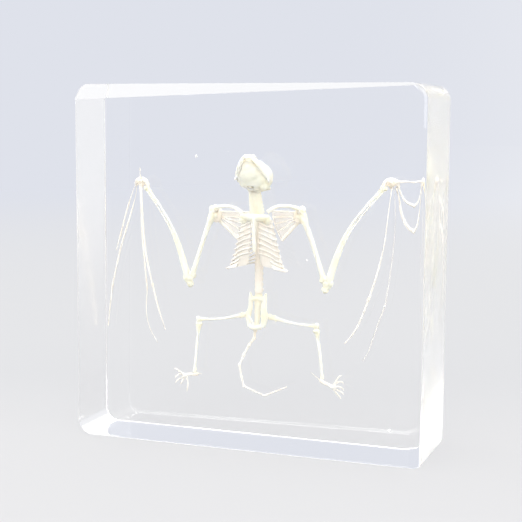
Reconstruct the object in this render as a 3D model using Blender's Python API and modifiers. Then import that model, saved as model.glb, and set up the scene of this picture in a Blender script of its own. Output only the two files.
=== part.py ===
# A small bat's skeleton, spread flat with its belly to the front, cast in a clear square block.
# The block stands on its foot: X runs across it, Y from its front to its back and Z upwards.
# The origin is the middle of its foot. Lengths are in millimetres, and MM turns them into metres.

import math

import bmesh
import bpy
from mathutils import Matrix, Vector

MM = 0.001

# The clear block
WIDTH = 75.0
HEIGHT = 75.0
DEPTH = 24.0
CORNER_RADIUS = 3.2  # of the edges that run from front to back
TOP_LEFT_RADIUS = 1.3  # of the sharper one at the top left
BOTTOM_RIGHT_RADIUS = 0.7  # and of the sharpest, at the bottom right
CORNER_STEPS = 4
FRONT_RIM = {"left": 0.42, "right": 1.9, "bottom": 0.7, "top": 0.42}  # the radii of its four edges
BACK_RIM = {"left": 0.42, "right": 1.9, "bottom": 0.42, "top": 0.42}
RIM_STATIONS = (1.17, 0.7, 0.42, 0.18, 0.0)  # depths below a face at which its rim is drawn in
CHAMFER = (3.3, 0.5)  # the hand-ground chamfer at the front's top, at its left and right ends

# How the skeleton lies in the block
PARTING = 6.5  # the block is parted in this Y plane, which the limbs lie in
GAP = 0.3  # between neighbouring pieces
CLEARANCE = 0.4  # between a bone and its pocket
MIDLINE = -0.2  # the spine's X
SIDES = ("left", "right")  # as seen from the front
OUTWARD = {"left": -1, "right": 1}

# Joints of the skeleton: shoulders, elbows, wrists, hips, knees and ankles
SHOULDER = {"left": (-10.6, 6.5, 47.7), "right": (9.2, 6.5, 48.1)}
HUMERUS_END = {"left": (-15.2, 6.5, 34.9), "right": (13.9, 6.5, 35.4)}
ELBOW = {"left": (-16.2, 6.5, 33.0), "right": (14.8, 6.5, 33.4)}
FOREARM_END = {"left": (-25.8, 6.5, 52.5), "right": (26.2, 6.6, 53.8)}
FOREARM_BOW = {"left": (1.2, 0, 0.6), "right": (-1.6, 0, 0.9)}  # at the middle of its length
WRIST = {"left": (-27.3, 6.6, 54.3), "right": (27.8, 6.8, 55.4)}
HIP = {"left": (-3.3, 6.5, 26.5), "right": (2.9, 6.5, 26.3)}
FEMUR_BOW = (0, 0, -0.35)
KNEE = {"left": (-13.8, 6.5, 24.9), "right": (12.6, 6.5, 25.1)}
SHIN_TOP = {"left": (-13.8, 6.5, 23.4), "right": (12.8, 6.5, 23.6)}
ANKLE = {"left": (-14.7, 6.5, 14.0), "right": (14.0, 6.5, 14.8)}

# Wing fingers 2 to 5: each list runs from the wrist to the knuckle, then from the knuckle to the tip
METACARPAL = {
    "left": {
        2: ((-29.6, 8.0, 52.6), (-31.4, 8.2, 47.0), (-32.7, 8.3, 43.0)),
        3: ((-28.5, 8.4, 52.0), (-30.4, 8.4, 47.0), (-32.8, 8.4, 40.0), (-34.7, 8.4, 32.0)),
        4: ((-27.6, 8.0, 52.0), (-27.5, 8.0, 46.9), (-27.1, 7.9, 40.4), (-26.4, 7.8, 31.6)),
        5: ((-27.2, 6.5, 52.0), (-27.0, 6.5, 44.8), (-26.2, 6.5, 38.2), (-24.9, 6.5, 32.5)),
    },
    "right": {
        2: ((29.7, 7.6, 53.6), (30.9, 7.7, 51.4), (32.5, 7.8, 50.7), (34.4, 8.0, 49.4)),
        3: ((29.2, 8.4, 52.4), (29.8, 8.4, 49.2), (31.2, 8.4, 46.4), (32.6, 8.4, 45.4), (34.2, 8.4, 43.8)),
        4: ((28.6, 7.8, 53.2), (28.6, 7.8, 43.4), (27.7, 7.8, 36.0), (27.0, 7.8, 30.8)),
        5: ((27.9, 6.6, 53.2), (27.5, 6.5, 49.8), (26.5, 6.5, 41.6), (24.0, 6.5, 32.2)),
    },
}
FINGER = {
    "left": {
        2: ((-32.9, 8.3, 42.3), (-33.9, 8.4, 38.9)),
        3: ((-34.9, 8.4, 31.0), (-35.5, 8.4, 26.5), (-36.0, 8.4, 22.0)),
        4: ((-26.3, 7.8, 30.8), (-26.5, 7.8, 25.0), (-25.6, 7.8, 21.7), (-23.9, 7.8, 18.9)),
        5: ((-24.7, 6.5, 31.7), (-23.2, 6.5, 26.3), (-21.7, 6.5, 22.0)),
    },
    "right": {
        2: ((34.9, 8.0, 48.7), (35.9, 8.0, 45.6)),
        3: ((34.6, 8.4, 43.0), (35.6, 8.4, 37.0), (36.0, 8.4, 31.0)),
        4: ((26.9, 7.8, 30.0), (24.5, 7.8, 23.2), (23.7, 7.8, 20.6), (22.5, 7.8, 18.4)),
        5: ((23.7, 6.5, 31.4), (22.0, 6.5, 26.9), (20.3, 6.5, 23.7), (18.8, 6.5, 21.9)),
    },
}
THUMB = {
    "left": ((-27.3, 5.5, 55.4), (-27.5, 5.2, 56.2), (-27.2, 5.0, 57.1)),
    "right": ((29.3, 7.0, 55.4), (31.1, 7.2, 55.6), (33.4, 7.4, 55.4)),
}

# The feet: the sole from the heel to the ball, then each toe from the ball to its claw
SOLE = {
    "left": ((-14.3, 6.5, 12.7), (-15.5, 6.4, 12.7), (-17.2, 6.2, 12.4)),
    "right": ((13.9, 6.5, 13.5), (15.0, 6.4, 13.1), (16.6, 6.2, 12.5)),
}
TOES = {
    "left": (
        ((-17.1, 6.2, 12.6), (-18.2, 5.9, 13.2), (-19.3, 5.8, 13.6)),
        ((-17.1, 6.2, 12.4), (-18.3, 6.3, 12.4), (-19.2, 6.2, 11.7)),
        ((-17.0, 6.2, 12.2), (-18.2, 6.6, 11.4), (-19.3, 6.6, 10.4)),
        ((-16.9, 6.2, 12.2), (-17.6, 6.9, 11.0), (-18.2, 6.9, 10.2)),
        ((-16.6, 6.2, 12.2), (-16.3, 6.4, 10.6), (-16.4, 6.3, 8.8)),
    ),
    "right": (
        ((16.4, 6.2, 12.7), (17.2, 5.9, 14.3), (18.3, 5.8, 15.2)),
        ((16.5, 6.2, 12.6), (17.6, 6.2, 13.8), (18.7, 6.1, 13.6)),
        ((16.6, 6.2, 12.5), (17.7, 6.4, 12.7), (18.8, 6.4, 12.1)),
        ((16.6, 6.2, 12.4), (17.5, 6.7, 11.9), (18.7, 6.7, 11.2)),
        ((16.4, 6.2, 12.3), (17.0, 7.0, 11.3), (18.1, 7.0, 10.1)),
    ),
}

# Radii of the limb bones: of the shaft, then of the heads at the start and at the end
LIMB_RADII = {
    "humerus": (0.47, 0.95, 0.7),
    "forearm": (0.5, 0.8, 0.62),
    "femur": (0.32, 0.5, 0.5),
    "shin": (0.3, 0.52, 0.36),
}
WRIST_RADII = (1.1, 0.8, 0.75)

# Radii of the slim bones: of the knob at the start, the shaft and the tip
METACARPAL_RADII = (0.34, 0.24, 0.32)
FINGER_RADII = (0.3, 0.2, 0.13)
THUMB_RADII = (0.3, 0.2, 0.12)
KNOB_LENGTH = 0.9
SOLE_RADII = (0.4, 0.42, 0.4)
TOE_RADII = (0.2, 0.18, 0.13)

# The spine's stretches, from top to bottom, and the tail with a bend at each long vertebra's end
NECK = ((-0.9, 4.6, 51.8), (-0.6, 5.4, 48.6))
CHEST = ((MIDLINE, 6.4, 48.0), (MIDLINE, 6.5, 38.6))
LOINS = ((MIDLINE, 6.5, 38.1), (MIDLINE, 6.6, 31.7))
TAIL = (
    (-0.9, 6.5, 23.3),
    (-1.1, 6.5, 21.6),
    (-2.2, 6.5, 20.1),
    (-3.5, 6.5, 17.7),
    (-4.4, 6.5, 15.6),
    (-3.9, 6.5, 13.0),
    (-3.4, 6.5, 11.1),
    (-1.0, 6.5, 10.2),
    (1.3, 6.5, 9.4),
    (6.3, 6.5, 11.7),
)
TAIL_RADIUS = 0.42  # of its first knuckle
TAIL_TAPER = 0.028  # from each knuckle to the next

# The ribs: ten pairs, from the neck down
RIB_PAIRS = 10
RIB_TOP = 47.4  # where the first pair leaves the spine
RIB_STEP = 0.9
CAGE_HALF_WIDTH = (3.2, 6.4)  # of the first pair and of the last
CAGE_FRONT = 2.1  # Y of the ribs' front ends
RIB_RADIUS = 0.2
RIB_SLOPE = 0.4  # how far a rib drops for its reach sideways

# Boxes of space in the clear block around the wide bones, each from its low corner to its high one
ROOMS = {
    "skull": ((-5.3, -1.1, 52.2), (3.7, 8.2, 61.1)),
    "neck": ((-2.8, 2.6, 47.0), (1.4, 8.4, 52.6)),
    "chest": ((-5.8, 0.2, 41.6), (5.4, 8.7, 49.5)),
    "waist": ((-7.2, 0.8, 35.9), (6.8, 7.9, 41.8)),
    "loins": ((-1.5, 5.0, 30.4), (1.1, 8.1, 37.0)),
    "pelvis": ((-2.7, 4.3, 23.0), (2.3, 8.4, 32.2)),
}
SHOULDER_ROOM = {
    "front": 1.9,  # its Y limits
    "back": 8.8,
    "below": 5.9,  # how far it reaches from the shoulder joint
    "above": 2.6,
    "beyond": 0.4,
}
FOOT_ROOM = (5.2, 7.7)  # its Y limits

BONE_COLOUR = (0.93, 0.86, 0.70, 1.0)
RESIN_COLOUR = (0.96, 0.98, 1.0, 1.0)


def clear_scene():
    for obj in list(bpy.data.objects):
        bpy.data.objects.remove(obj, do_unlink=True)


def new_collection(name, helper=False):
    collection = bpy.data.collections.new(name)
    collection.hide_render = helper
    bpy.context.scene.collection.children.link(collection)
    return collection


def give_material(obj, colour, roughness, clear=0.0):
    material = bpy.data.materials.new(obj.name)
    material.use_nodes = True
    shader = material.node_tree.nodes["Principled BSDF"]
    shader.inputs["Base Color"].default_value = colour
    shader.inputs["Roughness"].default_value = roughness
    shader.inputs["Metallic"].default_value = 0.0
    shader.inputs["Transmission Weight"].default_value = clear
    obj.data.materials.append(material)


def keep(obj, collection):
    for old in list(obj.users_collection):
        old.objects.unlink(obj)
    collection.objects.link(obj)
    if collection.hide_render:
        obj.hide_render = True
        obj.display_type = "WIRE"
    return obj


# Shapes that the bones and their pockets are made of


def tube(name, points, radii, collection, rings=1):
    """A round rod through the points, with its own radius at each."""
    curve = bpy.data.curves.new(name, "CURVE")
    curve.dimensions = "3D"
    curve.bevel_depth = MM
    curve.bevel_resolution = rings
    curve.use_fill_caps = True
    spline = curve.splines.new("POLY")
    spline.points.add(len(points) - 1)
    for knot, place, radius in zip(spline.points, points, radii):
        knot.co = (*(Vector(place) * MM), 1)
        knot.radius = radius
    obj = bpy.data.objects.new(name, curve)
    return keep(obj, collection)


def loop(name, points, radius, collection):
    """A closed ring of round rod through the points."""
    obj = tube(name, points, [radius] * len(points), collection)
    obj.data.splines[0].use_cyclic_u = True
    return obj


def egg(name, centre, radii, collection, segments=12, rings=8):
    bpy.ops.mesh.primitive_uv_sphere_add(segments=segments, ring_count=rings, radius=MM)
    obj = bpy.context.object
    obj.name = name
    obj.data.transform(obj.matrix_world)
    for vertex in obj.data.vertices:
        vertex.co = Vector(c * r + p * MM for c, r, p in zip(vertex.co, radii, centre))
    return keep(obj, collection)


def box(name, low, high, collection):
    bpy.ops.mesh.primitive_cube_add(size=1)
    obj = bpy.context.object
    obj.name = name
    for vertex in obj.data.vertices:
        corner = (high[i] if vertex.co[i] > 0 else low[i] for i in range(3))
        vertex.co = Vector(corner) * MM
    return keep(obj, collection)


def as_mesh(obj, collection):
    """The object as a plain closed mesh, with its modifiers applied and a curve's caps welded on."""
    bpy.context.view_layer.update()
    graph = bpy.context.evaluated_depsgraph_get()
    mesh = bpy.data.meshes.new_from_object(obj.evaluated_get(graph))
    mesh.transform(obj.matrix_world)
    if obj.type == "CURVE":
        work = bmesh.new()
        work.from_mesh(mesh)
        bmesh.ops.remove_doubles(work, verts=work.verts, dist=1e-6)
        bmesh.ops.recalc_face_normals(work, faces=work.faces)
        work.to_mesh(mesh)
        work.free()
    name = obj.name
    bpy.data.objects.remove(obj, do_unlink=True)
    solid = bpy.data.objects.new(name, mesh)
    return keep(solid, collection)


def fuse(name, pieces, collection):
    """One solid of all the pieces, which overlap: a Boolean union on the first of them. It is worked
    out a thousand times larger, because the union's merging distance is coarse for a thin bone."""
    solids = [as_mesh(piece, helpers) for piece in pieces]
    for solid in solids:
        solid.data.transform(Matrix.Scale(1 / MM, 4))
    base = solids[0]
    for other in solids[1:]:
        union = base.modifiers.new(other.name, "BOOLEAN")
        union.operation = "UNION"
        union.object = other
    whole = as_mesh(base, collection)
    whole.data.transform(Matrix.Scale(MM, 4))
    whole.name = name
    whole.data.name = name
    for other in solids[1:]:
        bpy.data.objects.remove(other, do_unlink=True)
    return whole


def finish_bone(obj):
    give_material(obj, BONE_COLOUR, 0.55)
    return obj


# The bones


def long_bone(bone, side, start, end, bow=(0, 0, 0), rings=2):
    """A limb bone: a slim shaft, bowed a little, that swells to a rounded head at each end."""
    start, end, bow = Vector(start), Vector(end), Vector(bow)
    shaft, first, last = LIMB_RADII[bone]
    stations = (
        (0.00, first * 0.55),
        (0.02, first * 0.90),
        (0.05, first),
        (0.13, shaft * 1.15),
        (0.35, shaft),
        (0.65, shaft),
        (0.88, shaft * 1.1),
        (0.95, last),
        (0.98, last * 0.90),
        (1.00, last * 0.55),
    )
    points = [start.lerp(end, t) + bow * math.sin(math.pi * t) for t, _ in stations]
    return finish_bone(tube(f"{bone}_{side}", points, [r for _, r in stations], bones, rings))


def slim_bone(name, points, radii):
    """A finger bone: a thin shaft through the points, from a knob to a narrower end."""
    knob, shaft, tip = radii
    points = [Vector(point) for point in points]
    points.insert(1, points[0] + (points[1] - points[0]).normalized() * KNOB_LENGTH)
    middle = [shaft] * (len(points) - 2)
    return finish_bone(tube(name, points, [knob, *middle, tip], bones))


def vertebrae(name, ends, count, radius, waist, collection):
    """A row of vertebrae: a body for each, with a narrower disc between neighbours."""
    start, end = (Vector(point) for point in ends)
    points = [start]
    radii = [waist]
    for k in range(count):
        for share, size in ((0.2, radius), (0.8, radius), (1.0, waist)):
            points.append(start.lerp(end, (k + share) / count))
            radii.append(size)
    return tube(name, points, radii, collection, rings=2)


def skull():
    braincase = egg("braincase", (-0.3, 4.5, 55.6), (3.4, 3.1, 3.4), helpers, 12, 9)
    face = egg("face", (-0.9, 2.5, 58.2), (1.8, 1.9, 2.6), helpers)
    base = egg("skull_base", (-0.6, 2.8, 54.9), (2.2, 1.9, 2.3), helpers)
    pieces = [braincase, face, base]
    for name, way in (("left", -1), ("right", 1)):
        arch = (
            (-0.8 + 1.3 * way, 1.7, 58.6),
            (-0.8 + 2.9 * way, 1.6, 57.7),
            (-0.8 + 3.7 * way, 1.9, 56.2),
            (-0.8 + 3.0 * way, 2.6, 54.9),
            (-0.8 + 1.9 * way, 3.4, 54.4),
        )
        pieces.append(tube(f"cheek_{name}", arch, [0.4, 0.35, 0.35, 0.4, 0.5], helpers))
    for name, way in (("left", -1), ("right", 1)):
        centre = (-0.7 + 1.6 * way, 1.8, 53.9)
        pieces.append(egg(f"ear_capsule_{name}", centre, (0.9, 0.9, 1.0), helpers, 8, 6))
    return finish_bone(fuse("skull", pieces, bones))


def lower_jaw():
    points = (
        (-3.2, 0.5, 55.6),
        (-2.9, 0.0, 56.8),
        (-2.0, -0.2, 59.0),
        (-1.2, -0.2, 60.2),
        (-0.5, -0.2, 60.2),
        (0.3, -0.2, 59.0),
        (1.3, 0.0, 56.8),
        (1.6, 0.5, 55.6),
    )
    radii = (0.25, 0.4, 0.38, 0.35, 0.35, 0.38, 0.4, 0.25)
    return finish_bone(tube("lower_jaw", points, radii, bones))


def neck():
    return finish_bone(vertebrae("neck_vertebrae", NECK, 6, 1.3, 1.05, bones))


def rib(pair, way):
    """One rib: out and down from the spine, round the flank and forward to the breast."""
    share = pair / (RIB_PAIRS - 1)
    top = RIB_TOP - RIB_STEP * pair
    narrow, wide = CAGE_HALF_WIDTH
    half = narrow + (wide - narrow) * share
    front = 1.3 + (half - 1.9) * max(0.0, share - 0.5) * 2
    drop = RIB_SLOPE * half
    points = (
        (MIDLINE + 0.4 * way, 6.5, top),
        (MIDLINE + 0.55 * half * way, 6.6, top - 0.35 * drop),
        (MIDLINE + 0.93 * half * way, 5.6, top - 0.7 * drop),
        (MIDLINE + half * way, 4.2, top - 0.9 * drop),
        (MIDLINE + 0.85 * half * way, 2.8, top - drop),
        (MIDLINE + front * way, CAGE_FRONT, top - 0.8 * drop),
    )
    return tube(f"rib_{pair}_{way}", points, [RIB_RADIUS] * len(points), helpers, rings=0)


def ribcage():
    spine = vertebrae("chest_vertebrae", CHEST, 10, 0.95, 0.75, helpers)
    pieces = [spine]
    for pair in range(RIB_PAIRS):
        pieces.extend(rib(pair, way) for way in (-1, 1))
    return finish_bone(fuse("ribcage", pieces, bones))


def breastbone():
    keel = (
        (MIDLINE, 1.5, 47.4),
        (MIDLINE, 1.2, 46.0),
        (MIDLINE, 1.5, 43.0),
        (MIDLINE, 1.7, 41.2),
        (MIDLINE, 1.7, 40.3),
    )
    shoulders = ((MIDLINE - 2.4, 2.2, 48.4), (MIDLINE, 1.5, 47.6), (MIDLINE + 2.4, 2.2, 48.4))
    pieces = [
        tube("keel", keel, (0.5, 0.4, 0.35, 0.5, 0.2), helpers),
        tube("breastbone_top", shoulders, (0.35, 0.6, 0.35), helpers),
    ]
    return finish_bone(fuse("breastbone", pieces, bones))


def loins():
    return finish_bone(vertebrae("lumbar_vertebrae", LOINS, 5, 0.87, 0.7, bones))


def collarbone(side):
    """A thin arched bar from the top of the breastbone out to the shoulder."""
    way = OUTWARD[side]
    x, _, z = SHOULDER[side]
    points = (
        (MIDLINE + 3.2 * way, 2.6, 48.7),
        (MIDLINE + 5.0 * way, 3.2, 49.3),
        (x * 0.72, 4.2, z + 1.6),
        (x * 0.93, 4.9, z + 1.3),
    )
    return finish_bone(tube(f"collarbone_{side}", points, (0.35, 0.28, 0.26, 0.36), bones))


def shoulder_blade(side):
    """A thin plate behind the ribs, wide at the joint and at the spine, with its edges raised."""
    way = OUTWARD[side]
    x, _, z = SHOULDER[side]
    neck_top = (x - 0.9 * way - 0.1, 7.9, z + 0.5)
    neck_low = (x - 1.3 * way, 7.9, z - 1.6)
    inner_top = (MIDLINE + 3.4 * way, 7.9, z + 0.8)
    inner_mid = (MIDLINE + 3.4 * way, 7.9, z - 2.0)
    tip = (MIDLINE + 5.1 * way, 7.9, z - 5.5)
    outline = (neck_low, neck_top, inner_top, inner_mid, tip)
    bpy.ops.mesh.primitive_circle_add(vertices=5, fill_type="NGON")
    plate = bpy.context.object
    plate.name = f"blade_{side}"
    for vertex, place in zip(plate.data.vertices, outline):
        vertex.co = Vector(place) * MM
    thick = plate.modifiers.new("thickness", "SOLIDIFY")
    thick.thickness = 0.3 * MM
    thick.offset = 0
    edge = [
        tube(f"edge_{side}_{k}", (a, b), (0.3, 0.22), helpers)
        for k, (a, b) in enumerate(zip((neck_low, neck_top, inner_top), (tip, inner_top, tip)))
    ]
    return finish_bone(fuse(f"shoulder_blade_{side}", [plate, *edge], bones))


def arm(side):
    long_bone("humerus", side, SHOULDER[side], HUMERUS_END[side])
    long_bone("forearm", side, ELBOW[side], FOREARM_END[side], FOREARM_BOW[side])
    finish_bone(egg(f"wrist_{side}", WRIST[side], WRIST_RADII, bones, 10, 6))
    finish_bone(tube(f"thumb_{side}", THUMB[side], THUMB_RADII, bones))
    for finger in METACARPAL[side]:
        slim_bone(f"metacarpal_{finger}_{side}", METACARPAL[side][finger], METACARPAL_RADII)
        slim_bone(f"finger_{finger}_{side}", FINGER[side][finger], FINGER_RADII)


def pelvis():
    """The sacrum with a long hip bone on each side, each with its round opening."""
    sacrum = ((MIDLINE, 6.7, 31.2), (MIDLINE, 7.0, 29.0), (-0.4, 7.0, 26.5), (-0.6, 6.8, 23.9))
    pieces = [tube("sacrum", sacrum, (0.8, 0.9, 0.6, 0.45), helpers)]
    for name, way in (("left", -1), ("right", 1)):
        blade = (
            (MIDLINE + 1.3 * way, 6.0, 31.4),
            (MIDLINE + 1.3 * way, 6.2, 29.6),
            (MIDLINE + 1.5 * way, 6.0, 27.4),
        )
        ring = (
            (MIDLINE + 1.3 * way, 6.3, 28.2),
            (MIDLINE + 1.7 * way, 5.9, 26.5),
            (MIDLINE + 1.6 * way, 5.6, 24.9),
            (MIDLINE + 1.0 * way, 5.3, 24.0),
            (MIDLINE + 0.4 * way, 5.2, 24.9),
            (MIDLINE + 0.4 * way, 5.6, 26.8),
        )
        strut = ((MIDLINE + 1.3 * way, 6.1, 29.8), (MIDLINE, 6.9, 29.6))
        pieces.append(tube(f"hip_blade_{name}", blade, (0.3, 0.5, 0.5), helpers))
        pieces.append(loop(f"hip_ring_{name}", ring, 0.36, helpers))
        pieces.append(tube(f"hip_strut_{name}", strut, (0.45, 0.5), helpers))
    return finish_bone(fuse("pelvis", pieces, bones))


def leg(side):
    long_bone("femur", side, HIP[side], KNEE[side], FEMUR_BOW, rings=1)
    long_bone("shin", side, SHIN_TOP[side], ANKLE[side], rings=1)
    pieces = [tube(f"sole_{side}", SOLE[side], SOLE_RADII, helpers)]
    for k, toe in enumerate(TOES[side]):
        pieces.append(tube(f"toe_{side}_{k}", toe, TOE_RADII, helpers))
    finish_bone(fuse(f"foot_{side}", pieces, bones))


def tail():
    """Long thin vertebrae end to end: a knuckle at each joint, and a bend at some of them."""
    points = []
    radii = []
    for k, (a, b) in enumerate(zip(TAIL, TAIL[1:])):
        thick = TAIL_RADIUS - TAIL_TAPER * k
        points += [Vector(a), Vector(a).lerp(Vector(b), 0.3), Vector(a).lerp(Vector(b), 0.7)]
        radii += [thick, thick * 0.65, thick * 0.6]
    points.append(Vector(TAIL[-1]))
    radii.append(0.12)
    return finish_bone(tube("tail_vertebrae", points, radii, bones))


# The clear block, its halves and the pocket


def drawn_in(radius, depth):
    """How far an edge of this radius has come in from its side, at a depth below the face."""
    rise = max(radius - depth, 0.0)
    return radius - math.sqrt(radius**2 - rise**2)


def round_rim(work, radii, way):
    """Rounds the edges of the front (way -1) or back face (way 1), each with its own radius. The face is
    extruded from station to station, and each of its sides is drawn in towards the corners' centres."""
    core = {"left": CORNER_RADIUS - WIDTH / 2, "right": WIDTH / 2 - CORNER_RADIUS}
    core.update({"bottom": CORNER_RADIUS, "top": HEIGHT - CORNER_RADIUS})
    face = max(work.faces, key=lambda each: each.calc_center_median().y * way)
    reach = {side: CORNER_RADIUS for side in core}
    for depth in RIM_STATIONS:
        face = bmesh.ops.extrude_discrete_faces(work, faces=[face])["faces"][0]
        for vertex in face.verts:
            vertex.co.y = way * (DEPTH / 2 - depth) * MM
        for side, radius in radii.items():
            axis = 0 if side in ("left", "right") else 2
            outward = -1 if side in ("left", "bottom") else 1
            left_over = CORNER_RADIUS - drawn_in(radius, depth)
            for vertex in face.verts:
                beyond = vertex.co[axis] / MM - core[side]
                if beyond * outward > 0:
                    vertex.co[axis] = (core[side] + beyond * left_over / reach[side]) * MM
            reach[side] = left_over


def whole_block():
    """The block: its outline rounded at the corners, then the rims of its front and back faces."""
    rim = max(FRONT_RIM.values())
    low = (-WIDTH / 2, -DEPTH / 2 + rim, 0)
    block = box("block", low, (WIDTH / 2, DEPTH / 2 - rim, HEIGHT), helpers)
    work = bmesh.new()
    work.from_mesh(block.data)
    middle = HEIGHT / 2 * MM
    corners = [edge for edge in work.edges if edge.verts[0].co.y != edge.verts[1].co.y]
    top_left = [edge for edge in corners if edge.verts[0].co.x < 0 and edge.verts[0].co.z > middle]
    bottom_right = [edge for edge in corners if edge.verts[0].co.x > 0 and edge.verts[0].co.z < middle]
    wide = [edge for edge in corners if edge not in top_left + bottom_right]
    radii = ((wide, CORNER_RADIUS), (top_left, TOP_LEFT_RADIUS), (bottom_right, BOTTOM_RIGHT_RADIUS))
    for edges, radius in radii:
        bmesh.ops.bevel(
            work,
            geom=edges,
            offset=radius * MM,
            segments=CORNER_STEPS,
            profile=0.5,
            affect="EDGES",
        )
    round_rim(work, FRONT_RIM, -1)
    round_rim(work, BACK_RIM, 1)
    work.to_mesh(block.data)
    work.free()
    return block


def chamfer_cutter():
    """A wedge of space over the sloping chamfer along the front's top edge, tall at the left."""
    left, right, front = -WIDTH / 2, WIDTH / 2, -DEPTH / 2
    low_left = Vector((left, front, HEIGHT - CHAMFER[0])) * MM
    low_right = Vector((right, front, HEIGHT - CHAMFER[1])) * MM
    back_left = Vector((left, front + CHAMFER[0], HEIGHT)) * MM
    outward = (back_left - low_left).cross(low_right - low_left).normalized()
    if outward.z < 0:
        outward.negate()
    size = 2 * WIDTH * MM
    bpy.ops.mesh.primitive_cube_add(size=size)
    cutter = bpy.context.object
    cutter.name = "chamfer_cutter"
    cutter.rotation_euler = outward.to_track_quat("Z", "X").to_euler()
    cutter.location = (low_left + low_right) / 2 + outward * size / 2
    return keep(cutter, helpers)


def slot(name, points, radius):
    """Bars of space along a bone's points, as wide as the bone and its clearance, which also reach
    back or forward to the parting plane, so that the bone can be laid in."""
    half = radius + CLEARANCE
    for k, (a, b) in enumerate(zip(points, points[1:])):
        a, b = Vector(a), Vector(b)
        along = Vector((b.x - a.x, 0, b.z - a.z))
        low = min(a.y, b.y, PARTING + half) - half
        high = max(a.y, b.y, PARTING - half) + half
        size = (along.length + 2 * half, high - low, 2 * half)
        bpy.ops.mesh.primitive_cube_add(size=1)
        bar = bpy.context.object
        bar.name = f"{name}_{k}"
        for vertex in bar.data.vertices:
            vertex.co = Vector(c * s * MM for c, s in zip(vertex.co, size))
        bar.rotation_euler = (0, math.atan2(-along.z, along.x), 0)
        middle = (a + b) / 2
        bar.location = Vector((middle.x, (low + high) / 2, middle.z)) * MM
        keep(bar, pocket)


def shoulder_room(side):
    """The space around a shoulder blade and the collarbone in front of it, out from the ribcage."""
    x, _, z = SHOULDER[side]
    inner = MIDLINE + (CAGE_HALF_WIDTH[0] - GAP) * OUTWARD[side]
    left, right = sorted((inner, x + SHOULDER_ROOM["beyond"] * OUTWARD[side]))
    low = (left, SHOULDER_ROOM["front"], z - SHOULDER_ROOM["below"])
    high = (right, SHOULDER_ROOM["back"], z + SHOULDER_ROOM["above"])
    box(f"shoulder_room_{side}", low, high, pocket)


def foot_room(side):
    """A box of space around a foot with its toes spread."""
    points = [point for bone in (SOLE[side], *TOES[side]) for point in bone]
    margin = SOLE_RADII[1] + CLEARANCE
    low = (min(p[0] for p in points) - margin, FOOT_ROOM[0], min(p[2] for p in points) - margin)
    high = (max(p[0] for p in points) + margin, FOOT_ROOM[1], max(p[2] for p in points) + margin)
    box(f"foot_room_{side}", low, high, pocket)


def pocket_cutters():
    for name, (low, high) in ROOMS.items():
        box(f"{name}_room", low, high, pocket)
    for side in SIDES:
        shoulder_room(side)
        foot_room(side)
        middle = Vector(ELBOW[side]).lerp(Vector(FOREARM_END[side]), 0.5) + Vector(FOREARM_BOW[side])
        slot(f"humerus_slot_{side}", (SHOULDER[side], HUMERUS_END[side]), LIMB_RADII["humerus"][1])
        slot(f"forearm_slot_{side}", (ELBOW[side], middle, FOREARM_END[side]), LIMB_RADII["forearm"][1])
        slot(f"wrist_slot_{side}", (FOREARM_END[side], WRIST[side]), WRIST_RADII[0])
        slot(f"thumb_slot_{side}", THUMB[side], THUMB_RADII[0])
        for finger in METACARPAL[side]:
            slot(f"hand_slot_{finger}_{side}", METACARPAL[side][finger], METACARPAL_RADII[0])
            slot(f"finger_slot_{finger}_{side}", FINGER[side][finger], FINGER_RADII[0])
        slot(f"femur_slot_{side}", (HIP[side], KNEE[side]), LIMB_RADII["femur"][1])
        slot(f"shin_slot_{side}", (SHIN_TOP[side], ANKLE[side]), LIMB_RADII["shin"][1])
    slot("tail_slot", TAIL, TAIL_RADIUS)


def half_block(name, side_box):
    """The block on one side of the parting plane, with its share of the pocket."""
    half = whole_block()
    half.name = name
    for label, operation, cutter in (
        ("chamfer", "DIFFERENCE", chamfer_cutter()),
        ("parting", "INTERSECT", side_box),
    ):
        cut = half.modifiers.new(label, "BOOLEAN")
        cut.operation = operation
        cut.object = cutter
    recess = half.modifiers.new("pocket", "BOOLEAN")
    recess.operation = "DIFFERENCE"
    recess.operand_type = "COLLECTION"
    recess.collection = pocket
    half.hide_render = False
    half.display_type = "TEXTURED"
    keep(half, bones)
    give_material(half, RESIN_COLOUR, 0.03, clear=1.0)
    return half


def resin():
    wide, deep, tall = WIDTH, DEPTH, 1.5 * HEIGHT
    front_face = PARTING - GAP / 2
    back_face = PARTING + GAP / 2
    front = box("front_side", (-wide, -deep, -tall), (wide, front_face, tall), helpers)
    back = box("back_side", (-wide, back_face, -tall), (wide, deep, tall), helpers)
    pocket_cutters()
    half_block("resin_front", front)
    half_block("resin_back", back)


clear_scene()
bones = new_collection("bat_skeleton_in_resin_block")
helpers = new_collection("helpers", helper=True)
pocket = new_collection("pocket_cutters", helper=True)

skull()
lower_jaw()
neck()
ribcage()
breastbone()
loins()
pelvis()
tail()
for body_side in SIDES:
    collarbone(body_side)
    shoulder_blade(body_side)
    arm(body_side)
    leg(body_side)
resin()
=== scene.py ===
import math

import bmesh
import bpy
from mathutils import Matrix, Vector


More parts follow.
